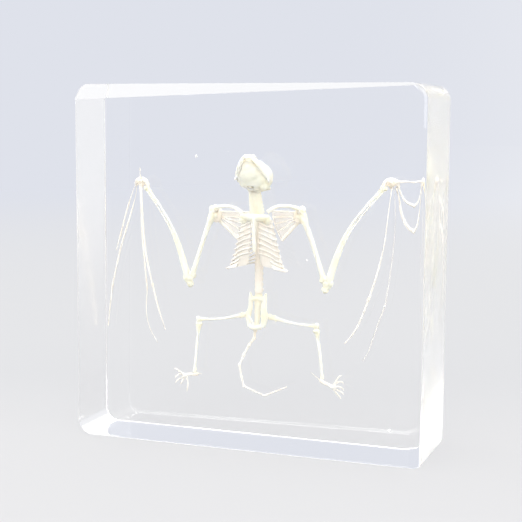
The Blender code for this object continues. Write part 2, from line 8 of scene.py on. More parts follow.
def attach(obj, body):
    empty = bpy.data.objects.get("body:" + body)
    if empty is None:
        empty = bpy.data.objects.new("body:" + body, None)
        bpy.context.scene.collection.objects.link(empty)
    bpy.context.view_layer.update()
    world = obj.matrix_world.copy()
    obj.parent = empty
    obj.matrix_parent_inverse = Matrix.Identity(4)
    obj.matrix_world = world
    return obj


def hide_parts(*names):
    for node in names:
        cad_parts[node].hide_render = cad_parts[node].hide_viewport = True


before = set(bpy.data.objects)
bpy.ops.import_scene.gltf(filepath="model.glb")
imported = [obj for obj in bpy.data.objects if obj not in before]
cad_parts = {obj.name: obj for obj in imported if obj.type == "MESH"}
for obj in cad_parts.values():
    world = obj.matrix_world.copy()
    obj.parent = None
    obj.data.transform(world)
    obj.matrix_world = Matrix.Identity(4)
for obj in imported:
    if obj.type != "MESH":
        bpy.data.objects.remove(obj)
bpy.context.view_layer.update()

# A bat's skeleton in a clear block. The bones are modelled in millimetres, then brought to metres.

mm = 0.001
sides = {"left": -1, "right": 1}  # and the way that each side lies from the spine
midline = -0.2  # the spine's X

# Where the bones' ends lie, as in the CAD model
joints = {
    "left": {
        "shoulder": (-10.6, 6.5, 47.7),
        "humerusEnd": (-15.2, 6.5, 34.9),
        "elbow": (-16.2, 6.5, 33.0),
        "forearmEnd": (-25.8, 6.5, 52.5),
        "forearmBow": (1.2, 0, 0.6),
        "wrist": (-27.3, 6.6, 54.3),
        "hip": (-3.3, 6.5, 26.5),
        "knee": (-13.8, 6.5, 24.9),
        "shinTop": (-13.8, 6.5, 23.4),
        "ankle": (-14.7, 6.5, 14.0),
    },
    "right": {
        "shoulder": (9.2, 6.5, 48.1),
        "humerusEnd": (13.9, 6.5, 35.4),
        "elbow": (14.8, 6.5, 33.4),
        "forearmEnd": (26.2, 6.6, 53.8),
        "forearmBow": (-1.6, 0, 0.9),
        "wrist": (27.8, 6.8, 55.4),
        "hip": (2.9, 6.5, 26.3),
        "knee": (12.6, 6.5, 25.1),
        "shinTop": (12.8, 6.5, 23.6),
        "ankle": (14.0, 6.5, 14.8),
    },
}

# Modelling helpers


def deselectAll():
    bpy.ops.object.select_all(action="DESELECT")


def makeActive(piece):
    deselectAll()
    piece.select_set(True)
    bpy.context.view_layer.objects.active = piece


def applyModifier(piece, kind, **values):
    makeActive(piece)
    bpy.ops.object.modifier_add(type=kind)
    step = piece.modifiers[-1]
    for key, value in values.items():
        setattr(step, key, value)
    bpy.ops.object.modifier_apply(modifier=step.name)


def makeRod(knots, roundness=3, steps=6):
    # a smooth rod through knots of (x, y, z, radius)
    deselectAll()
    bpy.ops.curve.primitive_bezier_curve_add(location=(0, 0, 0))
    curve = bpy.context.object
    spline = curve.data.splines[0]
    spline.bezier_points.add(len(knots) - 2)
    for point, knot in zip(spline.bezier_points, knots):
        point.co = knot[:3]
        point.radius = knot[3]
        point.handle_left_type = "AUTO"
        point.handle_right_type = "AUTO"
    spline.radius_interpolation = "EASE"
    curve.data.resolution_u = steps
    curve.data.bevel_depth = 1.0
    curve.data.bevel_resolution = roundness
    curve.data.use_fill_caps = True
    bpy.ops.object.convert(target="MESH")
    return bpy.context.object


def weldCaps(rod):
    # the ends of a rod come loose from its side
    makeActive(rod)
    bpy.ops.object.mode_set(mode="EDIT")
    bpy.ops.mesh.select_all(action="SELECT")
    bpy.ops.mesh.remove_doubles(threshold=0.001)  # less than any step along it
    bpy.ops.mesh.normals_make_consistent(inside=False)
    bpy.ops.object.mode_set(mode="OBJECT")
    return rod


def makeSheet(across, down, place, thickness):
    # a thin curved sheet of bone; place turns a row and a column into a point
    deselectAll()
    bpy.ops.mesh.primitive_grid_add(x_subdivisions=across, y_subdivisions=down, size=1)
    sheet = bpy.context.object
    for index, vertex in enumerate(sheet.data.vertices):
        row, column = divmod(index, across + 1)
        vertex.co = place(row, column)
    applyModifier(sheet, "SUBSURF", levels=2, render_levels=2)
    applyModifier(sheet, "SOLIDIFY", thickness=thickness, offset=0)
    return sheet


def makeLump(x, y, z, size):
    # a rounded swelling; size is one radius, or three
    deselectAll()
    sizes = (size, size, size) if isinstance(size, (int, float)) else size
    bpy.ops.mesh.primitive_ico_sphere_add(subdivisions=3, radius=1, location=(x, y, z), scale=sizes)
    return bpy.context.object


def asGiven(*point):
    return point


def placed(rows, place):
    # rows whose first three numbers are turned into a point, while the rest of them stays
    return [(*place(*row[:3]), *row[3:]) for row in rows]


def modelShape(shape, place=asGiven):
    # a bone's rods and then its swellings
    parts = [makeRod(placed(knots, place)) for knots in shape["rods"]]
    return parts + [makeLump(*lump) for lump in placed(shape.get("lumps", ()), place)]


def joinAll(parts):
    deselectAll()
    for part in parts:
        part.select_set(True)
    bpy.context.view_layer.objects.active = parts[0]
    if len(parts) > 1:
        bpy.ops.object.join()
    bpy.ops.object.transform_apply(location=True, rotation=True, scale=True)
    return bpy.context.object


boneGrain = bpy.data.textures.new("boneGrain", type="CLOUDS")
boneGrain.noise_scale = 0.45
boneGrain.noise_depth = 2


def fuseParts(parts, voxel=0.08, ease=2, grain=0.05):
    # grows the rods and swellings together into one skin, as bone does
    whole = joinAll(parts)
    applyModifier(whole, "REMESH", mode="VOXEL", voxel_size=voxel, use_smooth_shade=True)
    applyModifier(whole, "SMOOTH", factor=0.5, iterations=ease)
    relief = {"texture": boneGrain, "texture_coords": "LOCAL", "strength": grain, "mid_level": 0.5}
    applyModifier(whole, "DISPLACE", **relief)
    return whole


def paintWarmth(piece, spots):
    # how amber the bone is at each point: spots are (x, y, z, reach, strength), in millimetres
    layer = piece.data.attributes.new("warmth", "FLOAT", "POINT")
    centres = [(Vector(spot[:3]), spot[3], spot[4]) for spot in spots]
    for vertex, value in zip(piece.data.vertices, layer.data):
        warmth = 0.0
        for centre, reach, strength in centres:
            near = max(0.0, 1.0 - (vertex.co - centre).length / reach)
            warmth = max(warmth, strength * near * near * (3 - 2 * near))
        value.value = warmth


def finishBone(piece, name, node, spots=(), finish="bone"):
    paintWarmth(piece, spots)
    makeActive(piece)
    piece.name = name
    piece.data.name = name
    piece.scale = (mm, mm, mm)
    bpy.ops.object.transform_apply(location=False, rotation=False, scale=True)
    bpy.ops.object.shade_smooth()
    piece.data.materials.append(boneMaterials[finish])
    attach(piece, "root")
    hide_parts(node)


# Materials


def linear(*colour):
    # a colour given as 0 to 255, as light
    shares = [value / 255 for value in colour]
    return (*[v / 12.92 if v <= 0.04045 else ((v + 0.055) / 1.055) ** 2.4 for v in shares], 1.0)


def newMaterial(name):
    material = bpy.data.materials.new(name)
    material.use_nodes = True
    tree = material.node_tree
    return material, tree, tree.nodes["Principled BSDF"]


def setValues(node, values):
    for socket, value in values.items():
        node.inputs[socket].default_value = value


def addNoise(tree, place, scale, detail):
    noise = tree.nodes.new("ShaderNodeTexNoise")
    setValues(noise, {"Scale": scale, "Detail": detail})
    tree.links.new(place, noise.inputs["Vector"])
    return noise.outputs["Fac"]


def easeBetween(tree, value, low, high, first=0.0, last=1.0):
    # goes smoothly from first to last while the value goes from low to high
    step = tree.nodes.new("ShaderNodeMapRange")
    step.interpolation_type = "SMOOTHSTEP"
    setValues(step, {"From Min": low, "From Max": high, "To Min": first, "To Max": last})
    tree.links.new(value, step.inputs["Value"])
    return step.outputs["Result"]


mixSockets = {"share": 0, "first": 6, "second": 7, "result": 2}  # of a Mix node for colours


def mixColours(tree, share, first, second):
    # each colour is a fixed one, or another node's output
    mix = tree.nodes.new("ShaderNodeMix")
    mix.data_type = "RGBA"
    tree.links.new(share, mix.inputs[mixSockets["share"]])
    for name, colour in (("first", first), ("second", second)):
        socket = mix.inputs[mixSockets[name]]
        if isinstance(colour, tuple):
            socket.default_value = colour
        else:
            tree.links.new(colour, socket)
    return mix.outputs[mixSockets["result"]]


boneLook = {
    "ivory": linear(255, 247, 235),
    "shade": linear(255, 244, 228),
    "amber": linear(255, 242, 217),
    "chalk": linear(255, 253, 246),  # thin bone, bleached through
    "mottle": (420.0, 4),  # per metre, and how many finer layers of it
    "mottleEdges": (0.35, 0.75),
    "pores": (5200.0, 3),
    "poreDepth": 0.00003,
    "roughness": 0.55,
    "specular": 0.1,  # resin against bone glints little
    "depths": (1.0, 0.96, 0.88),  # how far red, green and blue light reach in
    "depth": 0.0006,
}
boneFinishes = {  # alpha, translucence, strength of the pores, whether it is bleached
    "bone": (1.0, 1.0, 0.35, False),
    "thin bone": (0.35, 0.0, 0.1, True),
    "dried skin": (0.7, 0.0, 0.1, True),
    "fine bone": (1.0, 0.0, 0.08, True),
}


def makeBoneMaterial(name, alpha, translucence, relief, pale):
    look = boneLook
    material, tree, shader = newMaterial(name)
    place = tree.nodes.new("ShaderNodeTexCoord").outputs["Object"]
    tint = tree.nodes.new("ShaderNodeValToRGB")
    colours = ("chalk", "ivory") if pale else ("ivory", "shade")
    for element, edge, colour in zip(tint.color_ramp.elements, look["mottleEdges"], colours):
        element.position = edge
        element.color = look[colour]
    tree.links.new(addNoise(tree, place, *look["mottle"]), tint.inputs["Fac"])
    warmth = tree.nodes.new("ShaderNodeAttribute")
    warmth.attribute_name = "warmth"
    colour = mixColours(tree, warmth.outputs["Fac"], tint.outputs["Color"], look["amber"])
    tree.links.new(colour, shader.inputs["Base Color"])
    bump = tree.nodes.new("ShaderNodeBump")
    setValues(bump, {"Strength": relief, "Distance": look["poreDepth"]})
    tree.links.new(addNoise(tree, place, *look["pores"]), bump.inputs["Height"])
    tree.links.new(bump.outputs["Normal"], shader.inputs["Normal"])
    finish = {
        "Roughness": look["roughness"],
        "Specular IOR Level": look["specular"],
        "Alpha": alpha,
        "Subsurface Weight": translucence,
        "Subsurface Radius": look["depths"],
        "Subsurface Scale": look["depth"],
    }
    setValues(shader, finish)
    return material


boneMaterials = {name: makeBoneMaterial(name, *finish) for name, finish in boneFinishes.items()}

resinLook = {"Base Color": (1, 1, 1, 1), "Transmission Weight": 1.0, "IOR": 1.54}
resinFinishes = {"polished resin": 0.0, "satin resin": 0.22}  # how rough each is


def makeResinMaterial(name, roughness):
    material, _, shader = newMaterial(name)
    setValues(shader, {**resinLook, "Roughness": roughness})
    return material


resinMaterials = [makeResinMaterial(*finish) for finish in resinFinishes.items()]
print("materials made")

# The clear block: one casting with rounded corners and rims, a ground chamfer and a few bubbles

blockShape = {
    "width": 75.0,
    "height": 75.0,
    "depth": 24.0,
    "corners": {(-1, 1): 1.3, (1, -1): 0.7, (1, 1): 3.2, (-1, -1): 3.2},  # radius by the way out and up
    "cornerSteps": 16,
    "rimSteps": 9,
    "frontRim": {"left": 0.42, "right": 1.9, "bottom": 0.7, "top": 0.42},
    "backRim": {"left": 0.24, "right": 1.9, "bottom": 0.14, "top": 0.42},
    "chamfer": (3.3, 0.5),  # how tall it is at the left and right ends
    "leastStep": 0.0005,  # closer points are one
    "smoothAngle": 20,  # degrees up to which neighbouring faces look like one surface
    "sideNormal": 0.97,  # share of its normal that is sideways on a satin face
    "bubbleHeight": 1.1,  # for its width
    "bubbles": (
        (-12.0, -3.0, 60.1, 0.26), (30.3, -4.0, 6.2, 0.24), (12.1, -2.0, 39.4, 0.2),
        (27.8, 2.0, 30.6, 0.22),
    ),
}


def rimStations(radii):
    # depths below the face at which the rims are drawn in, deepest first
    depths = {0.0}
    count = blockShape["rimSteps"]
    for radius in set(radii.values()):
        for step in range(count):
            depths.add(round(radius * (1 - math.sin(math.radians(90 * step / count))), 4))
    return sorted(depths, reverse=True)


def drawnIn(radius, depth):
    rise = max(radius - depth, 0.0)
    return radius - math.sqrt(radius**2 - rise**2)


def selectFace(way):
    # the face of the block in edit mode that lies furthest to the front or the back
    mesh = bpy.context.object.data
    bpy.ops.mesh.select_mode(type="FACE")
    bpy.ops.mesh.select_all(action="DESELECT")
    work = bmesh.from_edit_mesh(mesh)
    face = max(work.faces, key=lambda each: each.calc_center_median().y * way)
    face.select_set(True)
    work.select_flush_mode()
    bmesh.update_edit_mesh(mesh)


def roundRim(radii, way):
    # extrudes the face station by station and draws its sides in towards the corners' centres
    selectFace(way)
    shape = blockShape
    corner = max(shape["corners"].values())
    core = {"left": corner - shape["width"] / 2, "right": shape["width"] / 2 - corner}
    core.update({"bottom": corner, "top": shape["height"] - corner})
    reach = {side: corner for side in core}
    mesh = bpy.context.object.data
    for depth in rimStations(radii):
        bpy.ops.mesh.extrude_region_move()
        work = bmesh.from_edit_mesh(mesh)
        chosen = [vertex for vertex in work.verts if vertex.select]
        for vertex in chosen:
            vertex.co.y = way * (shape["depth"] / 2 - depth)
        for side, radius in radii.items():
            axis = 0 if side in ("left", "right") else 2
            outward = -1 if side in ("left", "bottom") else 1
            leftOver = corner - drawnIn(radius, depth)
            for vertex in chosen:
                beyond = vertex.co[axis] - core[side]
                if beyond * outward > 1e-6:
                    vertex.co[axis] = core[side] + beyond * leftOver / reach[side]
            reach[side] = leftOver
        bmesh.update_edit_mesh(mesh)


def makeBlock():
    shape = blockShape
    rim = max(shape["frontRim"].values())
    closeBy = 0.01  # mm off a side at which an edge still counts as on it
    deselectAll()
    bpy.ops.mesh.primitive_cube_add(
        size=1,
        location=(0, 0, shape["height"] / 2),
        scale=(shape["width"], shape["depth"] - 2 * rim, shape["height"]),
    )
    block = bpy.context.object
    bpy.ops.object.transform_apply(location=True, rotation=True, scale=True)
    bpy.ops.object.mode_set(mode="EDIT")
    bpy.ops.mesh.select_mode(type="EDGE")
    for (across, up), radius in shape["corners"].items():
        bpy.ops.mesh.select_all(action="DESELECT")
        work = bmesh.from_edit_mesh(block.data)
        for edge in work.edges:
            first, second = (vertex.co for vertex in edge.verts)
            runsBack = abs(first.y - second.y) > closeBy
            outermost = first.x * across > shape["width"] / 2 - closeBy
            topmost = (first.z - shape["height"] / 2) * up > shape["height"] / 2 - closeBy
            edge.select_set(runsBack and outermost and topmost)
        bmesh.update_edit_mesh(block.data)
        bpy.ops.mesh.bevel(offset=radius, segments=shape["cornerSteps"], profile=0.5)
    roundRim(shape["frontRim"], -1)
    roundRim(shape["backRim"], 1)
    bpy.ops.mesh.select_all(action="SELECT")
    bpy.ops.mesh.remove_doubles(threshold=shape["leastStep"])
    left, right = -shape["width"] / 2, shape["width"] / 2
    front, top = -shape["depth"] / 2, shape["height"]
    lowLeft = Vector((left, front, top - shape["chamfer"][0]))
    lowRight = Vector((right, front, top - shape["chamfer"][1]))
    backLeft = Vector((left, front + shape["chamfer"][0], top))
    outward = (backLeft - lowLeft).cross(lowRight - lowLeft).normalized()
    if outward.z < 0:
        outward.negate()
    bpy.ops.mesh.select_mode(type="EDGE")
    bpy.ops.mesh.bisect(plane_co=lowLeft, plane_no=outward, clear_outer=True)
    bpy.ops.mesh.edge_face_add()  # the bisect's own fill may start at another corner in each run
    bpy.ops.object.mode_set(mode="OBJECT")
    return block


def addBubbles(block):
    # each is a small round cavity, so its faces point into it
    bubbles = []
    for x, y, z, radius in blockShape["bubbles"]:
        bubble = makeLump(x, y, z, (radius, radius, radius * blockShape["bubbleHeight"]))
        bpy.ops.object.mode_set(mode="EDIT")
        bpy.ops.mesh.select_all(action="SELECT")
        bpy.ops.mesh.flip_normals()
        bpy.ops.object.mode_set(mode="OBJECT")
        bubbles.append(bubble)
    return joinAll([block, *bubbles])


def clearBlock():
    block = addBubbles(makeBlock())
    block.name = "clearBlock"
    makeActive(block)
    block.scale = (mm, mm, mm)
    bpy.ops.object.transform_apply(location=False, rotation=False, scale=True)
    bpy.ops.object.shade_smooth_by_angle(angle=math.radians(blockShape["smoothAngle"]))
    for material in resinMaterials:
        block.data.materials.append(material)
    for face in block.data.polygons:
        if abs(face.normal.x) > blockShape["sideNormal"]:
            face.material_index = 1
    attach(block, "root")
    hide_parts("resin_front", "resin_back")


clearBlock()
print("clear block made")

# The skull and the lower jaw, the palate and the teeth to the front

skullShape = {
    "lumps": (
        (-0.4, 4.6, 55.7, (3.6, 3.0, 3.2)),  # braincase
        (-0.8, 3.9, 57.0, (2.9, 2.4, 2.5)),  # brow
        (-1.4, 2.7, 58.7, (1.75, 1.5, 1.8)),  # muzzle
        (-2.15, 1.9, 59.9, (0.65, 0.8, 0.65)),
        (-0.7, 1.9, 59.95, (0.65, 0.8, 0.6)),
        (-1.4, 1.5, 57.7, (2.2, 1.7, 2.2)),  # palate
        (-0.5, 1.8, 55.6, (3.3, 1.7, 2.5)),  # base
        (-1.0, 1.4, 56.6, (2.9, 1.65, 2.6)),
        (-3.5, 1.8, 56.1, (1.0, 1.3, 1.5)),  # cheeks
        (2.5, 2.1, 55.7, (0.9, 1.3, 1.6)),
        (-2.5, 1.8, 54.7, (1.1, 0.95, 1.15)),  # ear capsules
        (1.6, 1.8, 54.2, (1.15, 0.95, 1.25)),
        (-1.6, 3.4, 53.3, (0.6, 0.7, 0.6)),  # knuckles over the neck
        (0.2, 3.4, 53.1, (0.7, 0.7, 0.6)),
    ),
    "rods": (
        ((-2.9, 1.9, 59.0, 0.4), (-3.7, 1.7, 57.8, 0.35), (-4.1, 2.0, 56.4, 0.35), (-3.6, 2.8, 55.2, 0.5)),
        ((0.1, 1.9, 59.1, 0.4), (1.5, 1.7, 57.8, 0.35), (2.9, 2.0, 56.2, 0.35), (3.0, 2.8, 55.0, 0.5)),
        ((-1.3, 4.4, 59.3, 0.3), (-0.8, 7.0, 57.4, 0.25), (-0.3, 7.6, 55.5, 0.22), (-0.1, 7.0, 53.6, 0.3)),
        ((-3.0, 5.2, 53.6, 0.3), (-0.3, 6.5, 53.0, 0.3), (2.5, 5.2, 53.4, 0.3)),  # nape crest
        (
            (-2.6, 1.5, 58.7, 0.32), (-2.2, 1.2, 59.7, 0.32), (-1.4, 1.1, 60.1, 0.32),
            (-0.6, 1.2, 59.8, 0.32), (-0.1, 1.5, 58.8, 0.32),
        ),
        ((-1.5, 1.0, 57.5, 0.24), (-1.4, 0.8, 56.4, 0.2), (-1.5, 1.0, 55.4, 0.16)),  # wings of the palate
        ((-0.2, 1.0, 57.4, 0.24), (-0.1, 0.8, 56.3, 0.2), (-0.1, 1.0, 55.3, 0.16)),
        ((-1.9, 1.9, 53.5, 0.35), (-1.0, 1.9, 53.7, 0.5), (0.0, 1.9, 53.5, 0.4)),
    ),
    "toothRows": (((-2.1, 0.9, 59.9), (-2.9, 1.2, 57.9)), ((-0.7, 0.9, 59.9), (0.4, 1.2, 57.8))),
    "teeth": (0.2, 0.24, 0.26, 0.28, 0.27, 0.22),
    "fang": 0.6,  # its length
    "pits": ((-1.45, 0.7, 53.85, (0.22, 0.7, 0.2)), (-0.45, 0.7, 53.75, (0.3, 0.8, 0.24))),
    "spots": ((2.7, 2.2, 55.0, 3.4, 1.0), (1.3, 1.6, 53.8, 2.4, 0.8), (-0.8, 1.4, 56.5, 4.5, 0.35)),
}

toothShape = {  # in both jaws
    "radii": (1.0, 1.4, 0.9),  # for a tooth of size one
    "fang": (0.22, 0.17, 0.06),  # radii at its root, middle and tip
    "lean": 0.15,
}


def makeTeeth(shape, way):
    # two rows of small teeth, each with a fang at its front end; way is the way they point
    parts = []
    sizes = shape["teeth"]
    for row in shape["toothRows"]:
        start, end = (Vector(point) for point in row)
        for k, size in enumerate(sizes):
            spot = start.lerp(end, k / (len(sizes) - 1))
            parts.append(makeLump(*spot, [size * radius for radius in toothShape["radii"]]))
        tip = start + Vector((0, shape["fang"] * way, toothShape["lean"]))
        course = zip((start, start.lerp(tip, 0.5), tip), toothShape["fang"])
        parts.append(makeRod([(*point, radius) for point, radius in course], 2, 4))
    return parts


def makeSkull():
    shape = skullShape
    parts = [makeLump(*lump) for lump in shape["lumps"]]
    parts += [makeRod(knots) for knots in shape["rods"]]
    parts += makeTeeth(shape, -1)
    skull = fuseParts(parts, voxel=0.1, ease=5)
    for pit in shape["pits"]:
        carver = makeLump(*pit)
        applyModifier(skull, "BOOLEAN", operation="DIFFERENCE", object=carver)
        bpy.data.objects.remove(carver, do_unlink=True)
    finishBone(skull, "skullBone", "skull", shape["spots"])


jawShape = {
    "rods": (
        (
            (-3.9, 1.5, 55.7, 0.4), (-3.75, 0.9, 56.5, 0.55), (-3.3, 0.3, 57.8, 0.52),
            (-2.75, 0.0, 59.0, 0.48), (-2.1, -0.2, 60.0, 0.42),
        ),
        (
            (3.0, 1.5, 55.3, 0.4), (2.7, 0.9, 56.1, 0.55), (1.6, 0.3, 57.6, 0.52), (0.6, 0.0, 58.9, 0.48),
            (-0.6, -0.2, 60.0, 0.42),
        ),
        ((-2.1, -0.2, 60.0, 0.42), (-1.4, -0.25, 59.8, 0.36), (-0.7, -0.2, 60.0, 0.42)),
        ((-3.9, 0.9, 56.5, 0.35), (-4.0, 1.8, 57.0, 0.3), (-3.9, 2.5, 57.2, 0.2)),
        ((2.7, 0.9, 56.3, 0.35), (2.8, 1.8, 56.8, 0.3), (2.7, 2.5, 57.0, 0.2)),
        ((-3.9, 0.9, 56.0, 0.3), (-4.2, 0.6, 55.5, 0.24), (-4.3, 0.7, 55.1, 0.16)),
        ((2.9, 0.9, 55.7, 0.3), (3.1, 0.6, 55.2, 0.24), (3.2, 0.7, 54.8, 0.16)),
    ),
    "toothRows": (((-2.2, 0.3, 59.9), (-3.2, 0.6, 57.9)), ((-0.6, 0.3, 59.9), (1.3, 0.6, 57.8))),
    "teeth": (0.18, 0.2, 0.22, 0.24, 0.24, 0.2),
    "fang": 0.6,
}


def makeJaw():
    parts = modelShape(jawShape) + makeTeeth(jawShape, 1)
    finishBone(fuseParts(parts), "jawBone", "lower_jaw")


makeSkull()
makeJaw()
print("skull made")

# The spine: one vertebra is modelled and copied along each stretch

vertebraShape = {  # of radius one
    "lumps": ((0, 0, 0, (1.02, 0.9, 0.58)), (0, 0.65, 0, (0.62, 0.55, 0.4))),  # body and arch
    "spur": ((0, 0.9, 0, 0.22), (0, 1.3, -0.12, 0.16), (0, 1.55, -0.3, 0.12)),
    "wing": ((0.5, 0.3, 0, 0.36), (0.85, 0.35, 0.02, 0.34), (1.02, 0.4, 0.0, 0.24)),
    "spacing": 1.02,  # before it is stretched or pressed to fit its place
    "warmReach": 3.4,
}

spineShape = {
    "neck": {
        "ends": ((-0.9, 4.6, 52.9), (-0.5, 5.5, 48.1)),
        "count": 7,
        "size": (1.25, 1.6),
        "disc": 1.3,
        "swell": 1.22,  # how much wider it grows towards its base
        "warm": 0.35,
        "finish": "bone",
    },
    "chest": {
        "ends": ((midline, 6.4, 48.3), (midline, 6.5, 38.2)),
        "count": 11,
        "size": (0.95, 0.9),
        "disc": 0.84,
        "warm": 0.25,
        "finish": "fine bone",
    },
    "loins": {
        "ends": ((midline, 6.5, 38.3), (midline, 6.6, 31.4)),
        "count": 6,
        "size": (0.9, 0.95),
        "disc": 0.88,
        "warm": 0.25,
        "finish": "fine bone",
    },
}


def makeVertebra():
    shape = vertebraShape
    parts = [makeLump(*lump) for lump in shape["lumps"]]
    parts.append(makeRod(shape["spur"], 2, 4))
    for way in sides.values():
        parts.append(makeRod([(x * way, y, z, radius) for x, y, z, radius in shape["wing"]], 2, 4))
    return joinAll(parts)


def spineStretch(stretch):
    start, end = (Vector(point) for point in stretch["ends"])
    count = stretch["count"]
    master = makeVertebra()
    small, large = stretch["size"]
    spacing = (end - start).length / count
    copies = []
    for k in range(count):
        share = (k + 0.5) / count
        size = small + (large - small) * share
        makeActive(master)
        bpy.ops.object.duplicate()
        copy = bpy.context.object
        copy.location = start.lerp(end, share)
        copy.scale = (size, size, spacing / vertebraShape["spacing"])
        copies.append(copy)
    bpy.data.objects.remove(master, do_unlink=True)
    disc = stretch["disc"]
    wide = disc * stretch.get("swell", 1.0)
    copies.append(makeRod(((*start, disc), (*start.lerp(end, 0.5), (disc + wide) / 2), (*end, wide)), 3, 4))
    return copies


def spineSpots(stretch):
    start, end = (Vector(point) for point in stretch["ends"])
    steps = 4
    reach, strength = vertebraShape["warmReach"], stretch["warm"]
    return [(*start.lerp(end, k / steps), reach, strength) for k in range(steps + 1)]


for stretchName, nodeName in (("neck", "neck_vertebrae"), ("loins", "lumbar_vertebrae")):
    stretchShape = spineShape[stretchName]
    stretchBone = fuseParts(spineStretch(stretchShape), voxel=0.1)
    stretchSpots = spineSpots(stretchShape)
    finishBone(stretchBone, stretchName + "Vertebrae", nodeName, stretchSpots, stretchShape["finish"])

# The ribcage with twelve pairs of ribs, and the breastbone before it

ribShape = {
    "pairs": 12,
    "top": 47.6,
    "step": 0.88,
    "halfWidth": (3.3, 6.7),
    "slopes": (0.36, 0.4, 0.45, 0.5, 0.54, 0.57, 0.6, 0.6, 0.57, 0.5, 0.38, 0.22),  # drop for their reach
    "radius": 0.19,
    "course": (  # mm outward, share of the half width, Y, share of the drop, share of the radius
        (0.5, 0.0, 6.3, 0.0, 1.2), (0.0, 0.45, 6.9, 0.4, 1.0), (0.0, 0.85, 6.2, 0.84, 1.0),
        (0.0, 1.0, 4.6, 1.0, 1.0), (0.0, 0.92, 3.0, 0.93, 1.0), (0.0, 0.6, 2.2, 0.62, 0.9),
    ),
    "joined": 8,  # pairs whose front ends reach the breastbone
    "frontEnd": (0.7, 1.9, 0.8, 0.8),  # there: mm outward, Y, mm up, share of the radius
    "skin": 0.06,  # the dried sheet between the ribs
    "skinEdge": (0.35, 2.0, 0.5),  # its inner edge: share of the ribs' reach, Y, mm up
    "skinInset": (0.985, 0.1),  # share of their reach, mm back
    "skinSpots": ((midline, 2.5, 38.5, 7.0, 0.2),),
}


def ribKnots(pair, way):
    # from the spine round the flank to the front: out and down, then in and up
    shape = ribShape
    share = pair / (shape["pairs"] - 1)
    narrow, wide = shape["halfWidth"]
    half = narrow + (wide - narrow) * share
    top = shape["top"] - shape["step"] * pair
    drop = shape["slopes"][pair] * half
    return [
        (midline + (out + reach * half) * way, deep, top - fall * drop, shape["radius"] * thick)
        for out, reach, deep, fall, thick in shape["course"]
    ]


def makeRibSkin(way):
    # the sheet spans the front ends of the ribs, from the flank in to the breastbone
    reach, edge, up = ribShape["skinEdge"]
    inset, back = ribShape["skinInset"]
    flank, front = 3, 5  # the knots that it starts at and passes last

    def place(row, column):
        x, y, z = ribKnots(row, way)[min(flank + column, front)][:3]
        if flank + column > front:
            x, y, z = midline + (x - midline) * reach, edge, z + up
        return Vector(((x - midline) * inset + midline, y + back, z))

    return makeSheet(front + 1 - flank, ribShape["pairs"] - 1, place, ribShape["skin"])


def makeRibcage():
    shape = ribShape
    stretch = spineShape["chest"]
    parts = spineStretch(stretch)
    out, deep, up, thick = shape["frontEnd"]
    for pair in range(shape["pairs"]):
        for way in sides.values():
            knots = ribKnots(pair, way)
            if pair < shape["joined"]:
                knots.append((midline + out * way, deep, knots[-1][2] + up, shape["radius"] * thick))
            parts.append(makeRod(knots, 1, 8))
    cage = fuseParts(parts, voxel=0.1, ease=1, grain=0.02)
    finishBone(cage, "ribcageBone", "ribcage", spineSpots(stretch), stretch["finish"])
    skin = joinAll([makeRibSkin(way) for way in sides.values()])
    finishBone(skin, "ribcageSkin", "ribcage", shape["skinSpots"], "dried skin")


breastShape = {
    "rods": (
        (
            (midline, 1.6, 47.8, 0.7), (midline, 1.2, 46.4, 0.5), (midline, 1.4, 43.0, 0.4),
            (midline, 1.7, 41.2, 0.48), (midline, 1.7, 40.2, 0.3),
        ),
        (
            (midline - 3.1, 2.4, 47.7, 0.55), (midline - 1.4, 1.9, 47.5, 0.8), (midline, 1.6, 47.4, 0.85),
            (midline + 1.4, 1.9, 47.4, 0.8), (midline + 3.1, 2.4, 47.6, 0.55),
        ),
        ((midline, 0.9, 47.4, 0.3), (midline, 0.7, 46.4, 0.25), (midline, 0.9, 44.4, 0.2)),  # keel
    ),
    "lumps": (
        (midline - 2.6, 2.4, 47.1, (0.95, 0.6, 1.05)),
        (midline + 2.6, 2.4, 47.0, (0.95, 0.6, 1.0)),
    ),
    "spots": ((midline - 2.0, 2.2, 47.4, 2.8, 0.8), (midline + 2.0, 2.2, 47.4, 2.8, 0.9)),
}


def makeBreastbone():
    plate = fuseParts(modelShape(breastShape))
    finishBone(plate, "breastbonePlate", "breastbone", breastShape["spots"])


makeRibcage()
makeBreastbone()
print("spine and ribs made")

# The limb bones. A shape is given along the bone: (share of its length, mm outward, mm to the front, radius)

